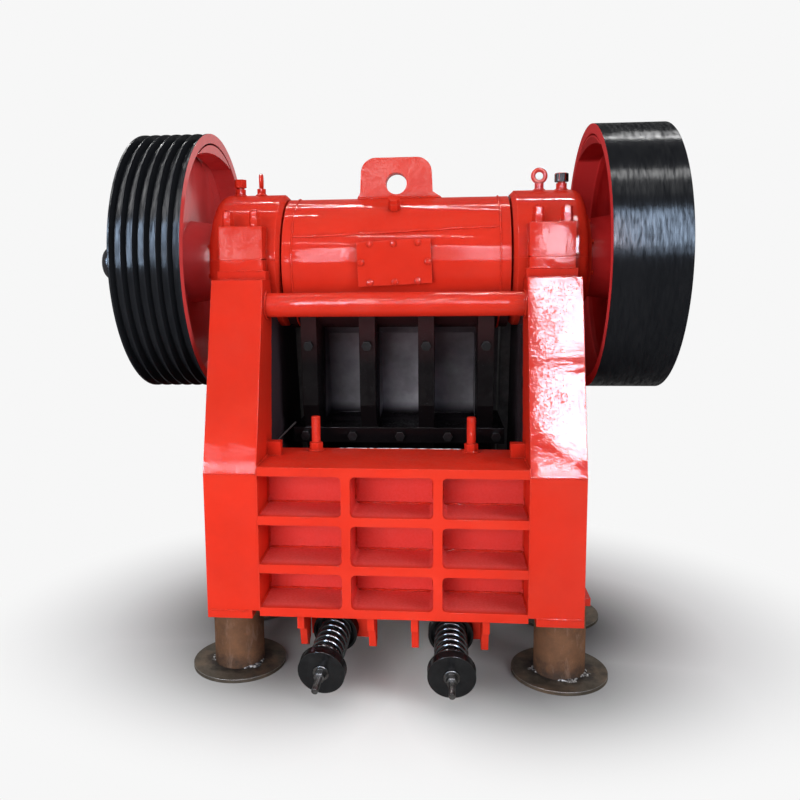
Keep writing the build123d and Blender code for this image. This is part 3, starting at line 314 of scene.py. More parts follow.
def pitman_paint():
    """Red barrel above, oily black below, with a middle painted lighter grey as painted light where it shows
    through the rear window; painted shade under the barrel.
    """
    t = Tree("pitman_paint")
    soft = t.rounded(0.004)
    height = t.axis("Z")
    barrel = t.ramp(t.radius(*BARREL), 0.2255, 0.2275, 1.0, 0.0)
    uneven = t.ramp(t.noise(20, 3), 0.3, 0.7, -0.006, 0.006)
    high = t.ramp(t.math("ADD", height, uneven), 1.205, 1.209)
    # Painted shade: the barrel's red is up to 35 % darker below 1.30 m, under the cover plate
    red = t.mix(t.ramp(height, 1.235, 1.30, 0.35, 0.0), paint_layers(t, RED, 0.2), (0.01, 0.001, 0.001))
    oil = t.mix(t.ramp(t.noise(10, 6, 0.65), 0.35, 0.7), (0.014, 0.011, 0.014), (0.028, 0.024, 0.029))
    # Painted light: the oily black is lighter grey in the middle, mostly on the plate behind the ribs, and
    # lighter still below 0.86 m where the shelf shades it
    across = t.math("ABSOLUTE", t.math("SUBTRACT", t.axis("X"), ZERO.x + 0.02))
    cloud = t.product(t.ramp(across, 0.05, 0.40, 1.0, 0.12), t.ramp(t.noise(7, 4, 0.6), 0.35, 0.6, 0.6, 1.0))
    slab = t.ramp(t.axis("Y"), ZERO.y + 0.50, ZERO.y + 0.56)
    cloud = t.product(t.product(cloud, t.ramp(slab, 0.0, 1.0, 0.05, 1.0)), t.ramp(height, 0.80, 0.84))
    oil = t.mix(cloud, oil, t.mix(t.ramp(height, 0.86, 1.0), PAINTED_LOW_LIGHT_GREY, PAINTED_LIGHT_GREY))
    oil = t.mix(slab, (0.0052, 0.0044, 0.0052), oil)
    spray = t.product(t.ramp(height, 1.02, 1.16), 0.5)
    oil = t.mix(spray, oil, (0.055, 0.018, 0.020))
    grit = t.ramp(t.noise(330, 3, 0.7), 0.66, 0.74)
    gritty = t.ramp(t.noise(6, 4, 0.6), 0.45, 0.7)
    oil = t.mix(t.product(grit, gritty), oil, (0.20, 0.20, 0.22))
    color = t.mix(t.product(barrel, high), oil, red)
    roughness = t.ramp(t.noise(30, 5, 0.7), 0.3, 0.75, 0.30, 0.55)
    done = t.finish(color, roughness, enamel_relief(t, soft, 1.4, 1.6), coat=0.2)
    t.put(t.shader.inputs["Coat Weight"], dry_spots(t, 0.07, 0.25))
    return done


# Leaning lines inside the side walls as (Y, Z, Y for each unit of Z), in metres: where the red strip
# at the rear ends, and where the chamber's black ends, just ahead of the front wall
STRIP_END = (0.235, 0.78, 0.11)
BLACK_END = (1.150, 0.33, 0.1444)


def beyond(t, line, uneven=0.0):
    """How far a point lies ahead of a leaning line."""
    y, z, lean = line
    slope = t.product(t.math("SUBTRACT", t.axis("Z"), z), lean)
    return t.math("SUBTRACT", t.math("ADD", t.axis("Y"), uneven), t.math("ADD", slope, ZERO.y + y))


def side_paint():
    """Red outside and on the rear strip, black with oil inside the chamber; the left inner wall's black is
    painted lighter as painted light.
    """
    t = Tree("side_enamel")
    soft = t.rounded(0.0035)
    across = t.math("ABSOLUTE", t.math("SUBTRACT", t.axis("X"), ZERO.x))
    inside = t.ramp(across, 0.4132, 0.4138, 1.0, 0.0)
    uneven = t.ramp(t.noise(24, 3), 0.3, 0.7, -0.006, 0.006)
    dark = t.product(inside, t.ramp(beyond(t, STRIP_END, uneven), 0.0, 0.006))
    dark = t.product(dark, t.ramp(beyond(t, BLACK_END), -0.004, 0.002, 1.0, 0.0))
    red = paint_layers(t, RED, 0.2)
    black = t.mix(t.ramp(t.noise(9, 6, 0.65), 0.35, 0.7), (0.036, 0.025, 0.031), (0.054, 0.041, 0.048))
    # Painted light: the left inner wall gets a flat, slightly lighter black
    black = t.mix(t.ramp(t.axis("X"), ZERO.x - 0.1, ZERO.x + 0.1), (0.050, 0.037, 0.046), black)
    color = t.mix(dark, red, black)
    roughness = t.ramp(t.noise(14, 4), 0.3, 0.8, 0.32, 0.5)
    return t.finish(color, roughness, enamel_relief(t, soft), coat=0.2)


def black_paint(name, base, roughness, grain, coat=0.3):
    """Thin black paint, worn grey along its edges."""
    t = Tree(name)
    soft = t.rounded(0.003)
    color = t.mix(t.ramp(t.noise(25, 5, 0.6), 0.35, 0.75), base, tuple(1.9 * c + 0.003 for c in base))
    color = t.mix(t.product(t.edges(soft), 0.3), color, (0.09, 0.085, 0.08))
    rough = t.ramp(t.noise(40, 5, 0.7), 0.3, 0.75, roughness - 0.1, roughness + 0.2)
    relief = t.bump(t.noise(220, 5, 0.6), grain, 0.5, soft)
    return t.finish(color, rough, relief, coat=coat, coat_roughness=0.1)


def steel(name, tone, roughness, stained):
    """Bare steel with dull stains."""
    t = Tree(name)
    soft = t.rounded(0.0015)
    stain = t.ramp(t.noise(45, 6, 0.65), 0.42, 0.68)
    color = t.mix(stain, tone, stained)
    rough = t.ramp(t.noise(80, 5, 0.7), 0.3, 0.75, roughness - 0.1, roughness + 0.2)
    metal = t.ramp(stain, 0, 1, 1.0, 0.5)
    return t.finish(color, rough, t.bump(t.noise(400, 4, 0.6), 0.0003, 0.5, soft), metallic=metal)


def cast_metal(name, tone):
    """Dark cast steel with a rough skin."""
    t = Tree(name)
    soft = t.rounded(0.004)
    color = t.mix(t.ramp(t.noise(20, 6, 0.7), 0.4, 0.7), tone, tuple(1.7 * c for c in tone))
    rough = t.ramp(t.noise(60, 5, 0.7), 0.3, 0.75, 0.35, 0.65)
    return t.finish(color, rough, t.bump(t.noise(120, 6, 0.7), 0.002, 0.6, soft), metallic=0.6)


STANDS = [(side * x, y) for x, y in ((543, 240), (600, 700)) for side in (-1, 1)]


def near(t, places):
    """Distance from the nearest upright axis of a list, in metres."""
    flat = t.add("VectorMath", {0: t.place, 1: (1, 1, 0)}, operation="MULTIPLY").outputs[0]
    least = None
    for x, y in places:
        centre = at(x, y, 0)
        inputs = {0: flat, 1: (centre.x, centre.y, 0)}
        away = t.add("VectorMath", inputs, operation="DISTANCE").outputs["Value"]
        least = away if least is None else t.math("MINIMUM", least, away)
    return least


def rusty_pipe():
    """Brown rust with orange and pale patches, darker at the foot."""
    t = Tree("rusty_pipe")
    soft = t.rounded(0.002)
    rust = t.mix(t.ramp(t.noise(9, 8, 0.65), 0.35, 0.7), (0.185, 0.092, 0.050), (0.090, 0.050, 0.032))
    orange = t.ramp(t.noise(28, 7, 0.7), 0.58, 0.75)
    rust = t.mix(t.product(orange, 0.6), rust, (0.22, 0.090, 0.040))
    pale = t.ramp(t.noise(16, 6, 0.75), 0.56, 0.8)
    rust = t.mix(t.product(pale, 0.45), rust, (0.27, 0.19, 0.14))
    uneven = t.ramp(t.noise(30, 5, 0.7), 0.3, 0.7, -0.03, 0.03)
    low = t.ramp(t.math("ADD", t.axis("Z"), uneven), 0.012, 0.075, 1.0, 0.0)
    rust = t.mix(t.product(low, 0.8), rust, (0.042, 0.034, 0.030))
    scuffs = t.ramp(t.noise(38, 5, 0.65, stretch=(1.0, 1.0, 0.3)), 0.56, 0.66)
    rust = t.mix(t.product(scuffs, 0.4), rust, (0.235, 0.150, 0.112))
    grain = t.bump(t.noise(170, 6, 0.7), 0.0012, 0.6, soft)
    return t.finish(rust, 0.55, grain, metallic=0.15)


def mill_plate():
    """Plate with mill scale, scorched round the stands and bright along its edges."""
    t = Tree("mill_scale")
    soft = t.rounded(0.002)
    color = t.mix(t.ramp(t.noise(14, 7, 0.65), 0.35, 0.7), (0.052, 0.043, 0.033), (0.108, 0.090, 0.070))
    brown = t.ramp(t.noise(7, 5, 0.6), 0.5, 0.7)
    color = t.mix(t.product(brown, 0.5), color, (0.145, 0.088, 0.050))
    uneven = t.ramp(t.noise(26, 4), 0.3, 0.7, -0.022, 0.022)
    scorch = t.ramp(t.math("ADD", near(t, STANDS), uneven), 0.088, 0.118, 1.0, 0.0)
    color = t.mix(t.product(scorch, 0.75), color, (0.022, 0.019, 0.018))
    color = t.mix(t.product(t.edges(soft), 0.6), color, (0.32, 0.30, 0.28))
    grain = t.bump(t.noise(150, 6, 0.7), 0.001, 0.6, soft)
    rough = t.ramp(t.noise(50, 5, 0.7), 0.3, 0.75, 0.35, 0.62)
    return t.finish(color, rough, grain, metallic=0.35)


def weld_ash():
    """Light and dark slag on the tack welds."""
    t = Tree("weld_ash")
    color = t.mix(t.ramp(t.noise(75, 4, 0.6), 0.42, 0.54), (0.30, 0.285, 0.265), (0.030, 0.026, 0.024))
    return t.finish(color, 0.6, t.bump(t.noise(260, 5, 0.7), 0.0012, 0.7), metallic=0.3)


# Every material, and the solids that wear each one; all others are red
FINISH = {
    "red": red_paint(),
    "rough": red_paint("rough_red_enamel", 2.2, 0.14),
    "runs": red_paint("red_enamel_with_runs", 1.8, 0.28, 0.35),
    "gloss": red_paint("glossy_red_enamel", 0.6, 0.5),
    "wall": red_paint("dust_and_sheen_red_enamel", 1.2, 0.22, cells=True),
    "side": side_paint(),
    "wheel": wheel_paint(),
    "pitman": pitman_paint(),
    "oil": black_paint("oily_black_paint", OIL, 0.42, 0.0008),
    "nut": black_paint("oily_nuts", (0.007, 0.0068, 0.008), 0.25, 0.0012),
    "black": black_paint("gloss_black_paint", (0.0055, 0.0055, 0.006), 0.30, 0.0004),
    "coil": black_paint("coil_black", (0.007, 0.007, 0.008), 0.28, 0.0002, 1.0),
    "rod": steel("rod_steel", (0.085, 0.082, 0.078), 0.30, (0.022, 0.020, 0.018)),
    "bright": steel("bright_weld", (0.27, 0.26, 0.25), 0.42, (0.10, 0.085, 0.08)),
    "cast": cast_metal("cast_wear_steel", (0.060, 0.058, 0.058)),
    "rust": rusty_pipe(),
    "scale": mill_plate(),
    "ash": weld_ash(),
}
WORN = {
    "side": ["side_plate_left", "side_plate_right"],
    "wheel": ["sheave", "flywheel", "counterweights"],
    "pitman": ["pitman", "barrel_covers"],
    "rough": ["cover_plate"],
    "gloss": ["tie_bar"],
    "wall": ["rear_wall"],
    "runs": ["lifting_lug"],
    "nut": ["jaw_studs"],
    "oil": ["toggle_plate", "toggle_block", "adjusting_wedge", "eccentric_shaft"],
    "black": ["spring_cups", "spring_seats"],
    "rod": ["tension_rods"],
    "cast": ["swing_jaw_plate", "fixed_jaw_plate", "cheek_plate_left", "cheek_plate_right"],
    "rust": ["stand_pipes"],
    "scale": ["stand_discs"],
}


def dress(name, material):
    """Gives a solid its material."""
    node = NODES[name]
    if not node.material_slots:
        node.data.materials.append(material)
    for slot in node.material_slots:
        slot.material = material


for node_name in NODES:
    kinds = [kind for kind, names in WORN.items() if node_name in names]
    dress(node_name, FINISH[kinds[0] if kinds else "red"])


# Mesh helpers, in the source's millimetres
def piece(name, mesh, finish, body, angle=35):
    """One object from a mesh in the source's millimetres, riding on its body."""
    bmesh.ops.recalc_face_normals(mesh, faces=mesh.faces[:])
    for vertex in mesh.verts:
        vertex.co = at(*vertex.co)
    data = bpy.data.meshes.new(name)
    mesh.to_mesh(data)
    mesh.free()
    for polygon in data.polygons:
        polygon.use_smooth = True
    data.set_sharp_from_angle(angle=math.radians(angle))
    data.materials.append(FINISH[finish])
    made = bpy.data.objects.new(name, data)
    bpy.context.scene.collection.objects.link(made)
    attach(made, body)
    return made


def frame_along(direction):
    """Two unit vectors square to a direction."""
    ahead = Vector(direction).normalized()
    side = ahead.cross(Vector((0, 0, 1)))
    if side.length < 0.2:
        side = ahead.cross(Vector((0, 1, 0)))
    side.normalize()
    return side, side.cross(ahead)


def full_turn(count):
    """Evenly spaced angles of a full turn."""
    return [2 * math.pi * k / count for k in range(count)]


def ring(centre, side, up, radius, angles):
    """Points round a centre, at these angles in the plane of side and up."""
    return [centre + radius * (math.cos(a) * side + math.sin(a) * up) for a in angles]


def rings(mesh, loops, closed=False):
    """Joins loops of points into a skin, with a lid on each open end."""
    made = [[mesh.verts.new(point) for point in loop] for loop in loops]
    pairs = list(zip(made, made[1:]))
    if closed:
        pairs.append((made[-1], made[0]))
    for low, high in pairs:
        count = len(low)
        for i in range(count):
            mesh.faces.new((low[i], low[(i + 1) % count], high[(i + 1) % count], high[i]))
    if not closed:
        mesh.faces.new(made[0])
        mesh.faces.new(made[-1])


def tube(mesh, points, radii, sides=8, closed=False):
    """A round skin along points; the cross-section turns as little as it can."""
    points = [Vector(p) for p in points]
    count = len(points)
    side, up = frame_along(points[1] - points[0])
    loops = []
    for i, point in enumerate(points):
        after = points[(i + 1) % count] if closed or i < count - 1 else point
        before = points[i - 1] if closed or i > 0 else point
        ahead = (after - before).normalized()
        side = (side - ahead * side.dot(ahead)).normalized()
        up = side.cross(ahead)
        radius = radii[i] if isinstance(radii, list) else radii
        loops.append(ring(point, side, up, radius, full_turn(sides)))
    rings(mesh, loops, closed)


def lathe(mesh, start, direction, profile, sides=24):
    """A turned skin from (radius, distance along the direction) points."""
    start = Vector(start)
    ahead = Vector(direction).normalized()
    side, up = frame_along(ahead)
    angles = full_turn(sides)
    rings(mesh, [ring(start + along * ahead, side, up, radius, angles) for radius, along in profile])


def nut(mesh, start, direction, across, height, turn=0.0):
    """A hexagon with its top corners turned off."""
    start = Vector(start)
    ahead = Vector(direction).normalized()
    side, up = frame_along(ahead)
    corner = across / math.sqrt(3)
    cut = 0.12 * across
    angles = [math.radians(60 * k) + turn for k in range(6)]
    profile = ((corner, 0), (corner, height - 0.45 * cut), (corner - cut, height))
    rings(mesh, [ring(start + along * ahead, side, up, reach, angles) for reach, along in profile])


def thread(mesh, start, direction, radius, length, pitch=4.0, sides=18):
    """Thread crests lying on a bar, closed at both ends."""
    root, crest = radius + 0.1, radius + 0.9
    profile = [(root, 0.0)]
    for number in range(int(length / pitch)):
        low = number * pitch
        profile += [(root, low + 0.15 * pitch), (crest, low + 0.6 * pitch), (root, low + pitch)]
    lathe(mesh, start, direction, profile, sides)


def spaced(points, step):
    """Points at an even spacing along a broken line."""
    points = [Vector(p) for p in points]
    out = [points[0]]
    for a, b in zip(points, points[1:]):
        count = max(1, round((b - a).length / step))
        out += [a.lerp(b, k / count) for k in range(1, count + 1)]
    return out


def bead(mesh, points, radius, step=8.0, closed=False, sides=6):
    """A hand-laid weld bead: ripples and an uneven width."""
    path = spaced(points, step)
    if closed:
        path = path[:-1]
    radii = [radius * random.uniform(0.78, 1.18) for _ in path]
    wander = radius * 0.16
    path = [p + Vector([random.uniform(-wander, wander) for _ in range(3)]) for p in path]
    if not closed:
        radii[0] *= 0.5
        radii[-1] *= 0.5
    tube(mesh, path, radii, sides, closed)


def circle(centre, direction, radius, count=40):
    """Points round a centre; the last one lies on the first."""
    side, up = frame_along(direction)
    return ring(Vector(centre), side, up, radius, full_turn(count) + [2 * math.pi])


def blob(mesh, centre, size):
    """A lump of weld metal."""
    made = bmesh.ops.create_icosphere(mesh, subdivisions=2, radius=1.0)["verts"]
    for vertex in made:
        lump = 1 + 0.28 * math.sin(5 * vertex.co.x + centre[0]) * math.cos(4 * vertex.co.y + centre[1])
        spread = Vector((vertex.co.x * size[0], vertex.co.y * size[1], vertex.co.z * size[2]))
        vertex.co = Vector(centre) + lump * spread


# Sizes repeated from the source, in millimetres
HALF = 413  # inner faces of the side walls
SIDE_OUT = 453  # their outer faces
POST_OUT = 579  # outer edges of the posts
RIB = 28
FRONT_TOP = 1262  # upper edge of the feed side
WALL = {"top": 748, "bottom": 273, "rib": RIB, "step": 154, "depth": 162, "rib_x": 140}
POST = {"knee": 726, "top": 1313, "lean": 164, "bottom": 290}
FLANGE = (32, 1320)  # rear and front ends of the side walls' lying ribs
RODS = ((-214, -5.0), (182, 0.0))  # X of each tension rod and its turn to the side, in degrees
ROD_END, ROD_RISE = (-62, 125), 10  # Y and Z of the rods' rear ends, and their slope in degrees
SPRING_START, SPRING_LENGTH = 9.3, 224
SEAT_FLOOR, SEAT_DEPTH = 8, 34
SCREWS, SCREW_Y = (-264, 248), 246
BOLT_X, BOLT_STEP, BOLT_Y = 494.5, 44, (239, 761)
PLUG_X, EYE_X, CAP_TOP = 558, 483, 1605.6
UP, BACKWARD = (0, 0, 1), (0, -1, 0)

# Turned profiles as (radius, height), in millimetres
ROD_WASHER = [(10.4, 0), (24, 0), (25, 1), (25, 3.2), (24, 4), (10.4, 4)]
SCREW_WASHER = [(15, 0), (29, 0), (30, 1), (30, 3.4), (29, 4), (15, 4)]
SCREW_TIP = [(13.6, 0), (13.2, 1.0), (11.5, 2.2), (4, 2.6)]
PLATE_WASHER = [(3, 0), (10.5, 0), (11.2, 0.6), (11.2, 1.8), (10.6, 2.4), (3, 2.4)]
SEAL_WASHER = [(4, 0), (13, 0), (13, 2.2), (4, 2.2)]
BOLT_WASHER = [(10, 0), (23, 0), (23.6, 0.8), (23.6, 2.4), (10, 2.6)]
PLUG_COLLAR = [(17.6, 0), (24, 0), (23, 2.2), (18.2, 5), (17.8, 6)]
EYE_COLLAR = [(14.8, 0), (22, 0), (21, 2), (15.6, 6), (14.9, 8)]
CAP_COLLAR = [(18.8, 0), (22.6, 0), (23, 1.4), (22.4, 3), (18.8, 3.4)]


def rod_point(rod, across, along, up=0.0):
    """A point in a rod's own frame, carried to the machine's."""
    x, yaw = rod
    turn = Matrix.Rotation(math.radians(yaw), 4, "Z") @ Matrix.Rotation(math.radians(ROD_RISE), 4, "X")
    return Vector((x, *ROD_END)) + turn @ Vector((across, along, up))


def rod_direction(rod):
    """The way from a rod's rear end to the frame."""
    return rod_point(rod, 0, 1) - rod_point(rod, 0, 0)


def springs():
    """Round-wire coils with closed ends in place of the plain ones."""
    mesh = bmesh.new()
    wire, mean, turns, closed = 7.0, 47.0, 8.5, 0.055
    low, high = SPRING_START + wire, SPRING_START + SPRING_LENGTH - wire
    steps = int(turns * 40)
    for rod in RODS:
        points = []
        for i in range(steps + 1):
            share = i / steps
            angle = 2 * math.pi * turns * share
            ease = min(1.0, max(0.0, (share - closed) / (1 - 2 * closed)))
            along = low + (high - low) * ease
            points.append(rod_point(rod, mean * math.cos(angle), along, mean * math.sin(angle)))
        tube(mesh, points, wire, 12)
    made = piece("spring_coils", mesh, "coil", "frame")
    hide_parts("springs")


def rod_ends():
    """Threads, washers and nuts at the rear ends of the tension rods."""
    mesh = bmesh.new()
    for rod in RODS:
        back = -rod_direction(rod)
        thread(mesh, rod_point(rod, 0, -27), back, 9.6, 54, 4.0)
        lathe(mesh, rod_point(rod, 0, -0.1), back, ROD_WASHER, 28)
        nut(mesh, rod_point(rod, 0, -4), back, 31, 23)
    piece("rod_end_threads", mesh, "rod", "frame")


def cup_rims():
    """Rolled rims on the spring cups and seats."""
    mesh = bmesh.new()
    for rod in RODS:
        ahead = rod_direction(rod)
        for along, radius in ((2.2, 71.6), (32, 72.4)):
            path = circle(rod_point(rod, 0, along), ahead, radius, 48)[:-1]
            tube(mesh, path, 1.9, 6, closed=True)
        mouth = SPRING_START + SPRING_LENGTH + SEAT_FLOOR - SEAT_DEPTH
        path = circle(rod_point(rod, 0, mouth), ahead, 71.4, 48)[:-1]
        tube(mesh, path, 2.0, 6, closed=True)
    piece("cup_rims", mesh, "black", "frame")


def screw_threads():
    """Washers, nuts, threads and turned tips of the adjusting screws."""
    mesh = bmesh.new()
    for x in SCREWS:
        thread(mesh, (x, SCREW_Y, 776), UP, 14.0, 84, 4.2, 20)
        lathe(mesh, (x, SCREW_Y, 747.8), UP, SCREW_WASHER, 28)
        nut(mesh, (x, SCREW_Y, 751.8), UP, 39.4, 24.4, 0.2)
        lathe(mesh, (x, SCREW_Y, 860.5), UP, SCREW_TIP, 20)
    piece("screw_threads", mesh, "red", "frame")


def plate_bolts():
    """Eight bolts round the edge of the bare cover plate, with washers."""
    mesh = bmesh.new()
    upper = [(-81, 1424), (-4, 1424), (74, 1427)]
    middle = [(-109, 1364), (106, 1366)]
    lower = [(-80, 1300), (0, 1302), (74, 1305)]
    for number, (x, z) in enumerate(upper + middle + lower):
        lathe(mesh, (x, 262.2, z), BACKWARD, PLATE_WASHER, 22)
        nut(mesh, (x, 259.8, z), BACKWARD, 16.5, 6.6, 0.4 * number)
    piece("cover_plate_bolts", mesh, "red", "pitman")


def seal_bolts():
    """Bolts round the seal covers, between the housings and the wheels."""
    mesh = bmesh.new()
    count, reach = 8, 126
    for side in (-1, 1):
        for number in range(count):
            angle = 2 * math.pi * (number + 0.5) / count
            y, z = SHAFT[0] + reach * math.cos(angle), SHAFT[1] + reach * math.sin(angle)
            lathe(mesh, (side * 637.8, y, z), (side, 0, 0), SEAL_WASHER, 20)
            nut(mesh, (side * 640, y, z), (side, 0, 0), 19, 9)
    piece("seal_cover_bolts", mesh, "red", "frame")


def housing_details():
    """Washers and threaded ends of the cap bolts, and a turned collar under each plug and eye bolt."""
    mesh = bmesh.new()
    for side in (-1, 1):
        for step in (-BOLT_STEP, BOLT_STEP):
            for y in BOLT_Y:
                x = side * (BOLT_X + step)
                thread(mesh, (x, y, 1532.5), UP, 8.8, 5.2, 1.6, 16)
                lathe(mesh, (x, y, 1483.8), UP, BOLT_WASHER, 26)
        lathe(mesh, (side * PLUG_X, SHAFT[0], CAP_TOP), UP, PLUG_COLLAR, 26)
        lathe(mesh, (side * EYE_X, SHAFT[0], CAP_TOP), UP, EYE_COLLAR, 26)
    piece("housing_fittings", mesh, "red", "frame")


def black_cap():
    """The black cap on the right-hand plug."""
    mesh = bmesh.new()
    nut(mesh, (PLUG_X, SHAFT[0], 1633.6), UP, 41, 28.4, 0.3)
    lathe(mesh, (PLUG_X, SHAFT[0], 1632.8), UP, CAP_COLLAR, 26)
    piece("plug_cap", mesh, "black", "frame")


def cell_lines():
    """Where the plates of the rear wall meet: floors, roofs and sides of the cells, and the outer seams."""
    lines = []
    rib, depth, edge = WALL["rib"], WALL["depth"], WALL["rib_x"]
    back = depth - 1
    spans = ((-HALF, -edge - rib / 2), (-edge + rib / 2, edge - rib / 2), (edge + rib / 2, HALF))
    for row in range(3):
        high = WALL["top"] - rib - row * WALL["step"]
        low = high + rib - WALL["step"] if row < 2 else WALL["bottom"] + rib
        for x0, x1 in spans:
            lines.append(([(x0 + 4, back, low + 1), (x1 - 4, back, low + 1)], 5.0))
            lines.append(([(x0 + 4, back, high - 1), (x1 - 4, back, high - 1)], 4.5))
            for x in (x0 + 1, x1 - 1):
                lines.append(([(x, back, low + 14), (x, back, high - 14)], 3.5))
            for x in (x0, x1):
                if abs(x) == HALF:
                    lines.append(([(x * 0.998, 4, low), (x * 0.998, depth, low)], 4.0))
    return lines


def frame_lines():
    """The other seams of the frame, given for the right side as (points, radius)."""
    lean, low, knee, top = POST["lean"], POST["bottom"], POST["knee"], POST["top"]
    shelf, out, rib = WALL["top"], SIDE_OUT, RIB
    rear, front = FLANGE
    lines = [
        ([(HALF, 1, low), (HALF, 1, shelf - 3)], 2.6),
        ([(HALF, 4, shelf), (HALF, 276, shelf)], 5.0),
        ([(HALF + 1, -0.5, knee), (POST_OUT - 1, -0.5, knee)], 1.8),
        ([(HALF + 26, 0.5, 289.5), (POST_OUT - 2, 0.5, 289.5)], 2.6),
        ([(420, 217, 1342), (566, 217, 1342)], 3.0),
        ([(415, 216, 1314), (573, 216, 1314)], 4.0),
        ([(out, 34, knee + 2), (out, lean + 30, top - rib)], 5.0),
        ([(out, 34, low + rib), (out, 34, knee - rib)], 5.0),
        ([(out, front - 30, low + rib), (out, front - 30, knee - rib)], 5.0),
    ]
    for z in (low + rib, knee - rib, knee):
        lines.append(([(out, rear + 6, z), (out, front - 6, z)], 5.0))
    for y in (310, 500, 690):
        for step in (-14, 14):
            lines.append(([(out, y + step, knee + 4), (out, y + step, 1120)], 4.5))
    for step in (-14, 14):
        lines.append(([(out, 676 + step, low + rib), (out, 676 + step, knee - rib)], 4.5))
    lines.append(([(out, 930, FRONT_TOP - rib), (out, front - 20, FRONT_TOP - rib)], 4.5))
    return lines


def frame_welds():
    """Every seam of the frame that is painted over."""
    mesh = bmesh.new()
    for points, radius in cell_lines():
        bead(mesh, points, radius)
    for points, radius in frame_lines():
        bead(mesh, points, radius)
        bead(mesh, [(-x, y, z) for x, y, z in points], radius)
    for side in (-1, 1):
        bead(mesh, circle((side * 411, 205, 1232), (1, 0, 0), 42, 44), 5.0, closed=True)
    for x, y in STANDS:
        bead(mesh, circle((x, y, 263), UP, 86, 44), 5.5, closed=True)
    for x in (-303, -273, -83, -53, 53, 83, 273, 303):
        bead(mesh, [(x, 24, 272), (x, 186, 272)], 5.0)
    piece("frame_welds", mesh, "red", "frame", 60)


def pitman_welds():
    """Seams round the barrel's ends, at the lug's foot, and a slanting one along the barrel."""
    mesh = bmesh.new()
    y0, z0 = BARREL
    reach, lug_half = 224.2, 32
    for x in (-341, 341):
        bead(mesh, circle((x, y0, z0), (1, 0, 0), reach, 150), 3.2, closed=True)
    rise = math.sqrt(reach ** 2 - lug_half ** 2)
    for y in (y0 - lug_half, y0 + lug_half):
        bead(mesh, [(-136, y, z0 + rise + 1), (148, y, z0 + rise + 1)], 6.5, 7)
    seam = []
    for x, z in ((-338, 1452), (-150, 1456), (60, 1466), (338, 1478)):
        seam.append((x, y0 - math.sqrt(224.6 ** 2 - (z - z0) ** 2), z))
    bead(mesh, seam, 4.2, 9)
    piece("barrel_welds", mesh, "red", "pitman", 60)


def bright_welds():
    """Bare tack welds on the shelf's far edge."""
    mesh = bmesh.new()
    x, end = -190.0, 205
    while x < end:
        length = random.uniform(14, 48)
        bead(mesh, [(x, 277.5, 748.3), (x + length, 277.5, 748.4)], 0.9, 7)
        x += length + random.uniform(2, 9)
    piece("bright_tacks", mesh, "bright", "frame", 60)


def slant_bar():
    """A thin pin that leans over the left corner block."""
    mesh = bmesh.new()
    tube(mesh, spaced([(-385, 200, 790), (-333, 255, 840)], 20), 3.4, 10)
    piece("leaning_pin", mesh, "oil", "frame")


# Tacks round a stand at the left (-1) or right (1), as (degrees, size)
TACKS = {
    -1: ((-38, 1.5), (-170, 0.7), (75, 0.9), (130, 0.6)),
    1: ((-165, 0.8), (-72, 1.2), (-24, 1.0), (80, 0.9)),
}


def stand_welds():
    """Tack welds, lumps and ash where the pipes stand on their discs."""
    mesh = bmesh.new()
    for x, y in STANDS:
        for degrees, size in TACKS[1 if x > 0 else -1]:
            angle = math.radians(degrees + random.uniform(-5, 5))
            centre = (x + 87 * math.cos(angle), y + 87 * math.sin(angle), 13)
            blob(mesh, centre, (12 * size, 11 * size, 4 * size))
            for _ in range(2):
                turn = angle + random.uniform(-0.2, 0.2)
                reach = random.uniform(88, 98)
                place = (x + reach * math.cos(turn), y + reach * math.sin(turn), 12.2)
                blob(mesh, place, (random.uniform(5, 10), random.uniform(5, 10), random.uniform(0.8, 1.6)))
            turns = [angle + math.radians(5 * k * size) for k in range(-4, 5)]
            bead(mesh, [(x + 86 * math.cos(a), y + 86 * math.sin(a), 13.5) for a in turns], 4.5, 6)
    piece("stand_tacks", mesh, "ash", "frame", 60)


springs()
rod_ends()
cup_rims()
screw_threads()
plate_bolts()
seal_bolts()
housing_details()
black_cap()
frame_welds()
pitman_welds()
bright_welds()
slant_bar()
stand_welds()


# Floor with a painted shadow pool, soft light and pale background
PALE = 0.93
POOL = (60, 560)  # X and Y of the middle of the pool of painted shadow on the floor
SHADOW_PATCHES = ((-540, 140), (560, 60), (-600, 650), (620, 600))  # darkest patches of painted shadow in it
CEILING = 4300
WINDOW_Y = -3600
HEART = (0, 300, 1400)  # what the ceiling lights face


def seen_straight(tree):
    """1 for rays that see the background: from the camera, through glass or off a polished face."""
    path = tree.nodes.new("ShaderNodeLightPath")
    seen = path.outputs["Is Camera Ray"]
    for name in ("Is Transmission Ray", "Is Glossy Ray"):
        larger = tree.nodes.new("ShaderNodeMath")
        larger.operation = "MAXIMUM"
        tree.links.new(seen, larger.inputs[0])
        tree.links.new(path.outputs[name], larger.inputs[1])
        seen = larger.outputs[0]
    return seen


def from_pool(t, half_x, behind, ahead, start, end):
    """0 in the pool of painted shadow, 1 outside; an oval so many metres wide that fades from start to end.
    """
    centre = at(*POOL, 0)
    x = t.product(t.math("SUBTRACT", t.axis("X"), centre.x), 1 / half_x)
    y = t.math("SUBTRACT", t.axis("Y"), centre.y)
    y = t.math("MAXIMUM", t.product(y, 1 / ahead), t.product(y, -1 / behind))
    away = t.math("SQRT", t.math("ADD", t.product(x, x), t.product(y, y)))
    inputs = {"Value": away, "From Min": start, "From Max": end}
    return t.add("MapRange", inputs, interpolation_type="SMOOTHSTEP").outputs["Result"]


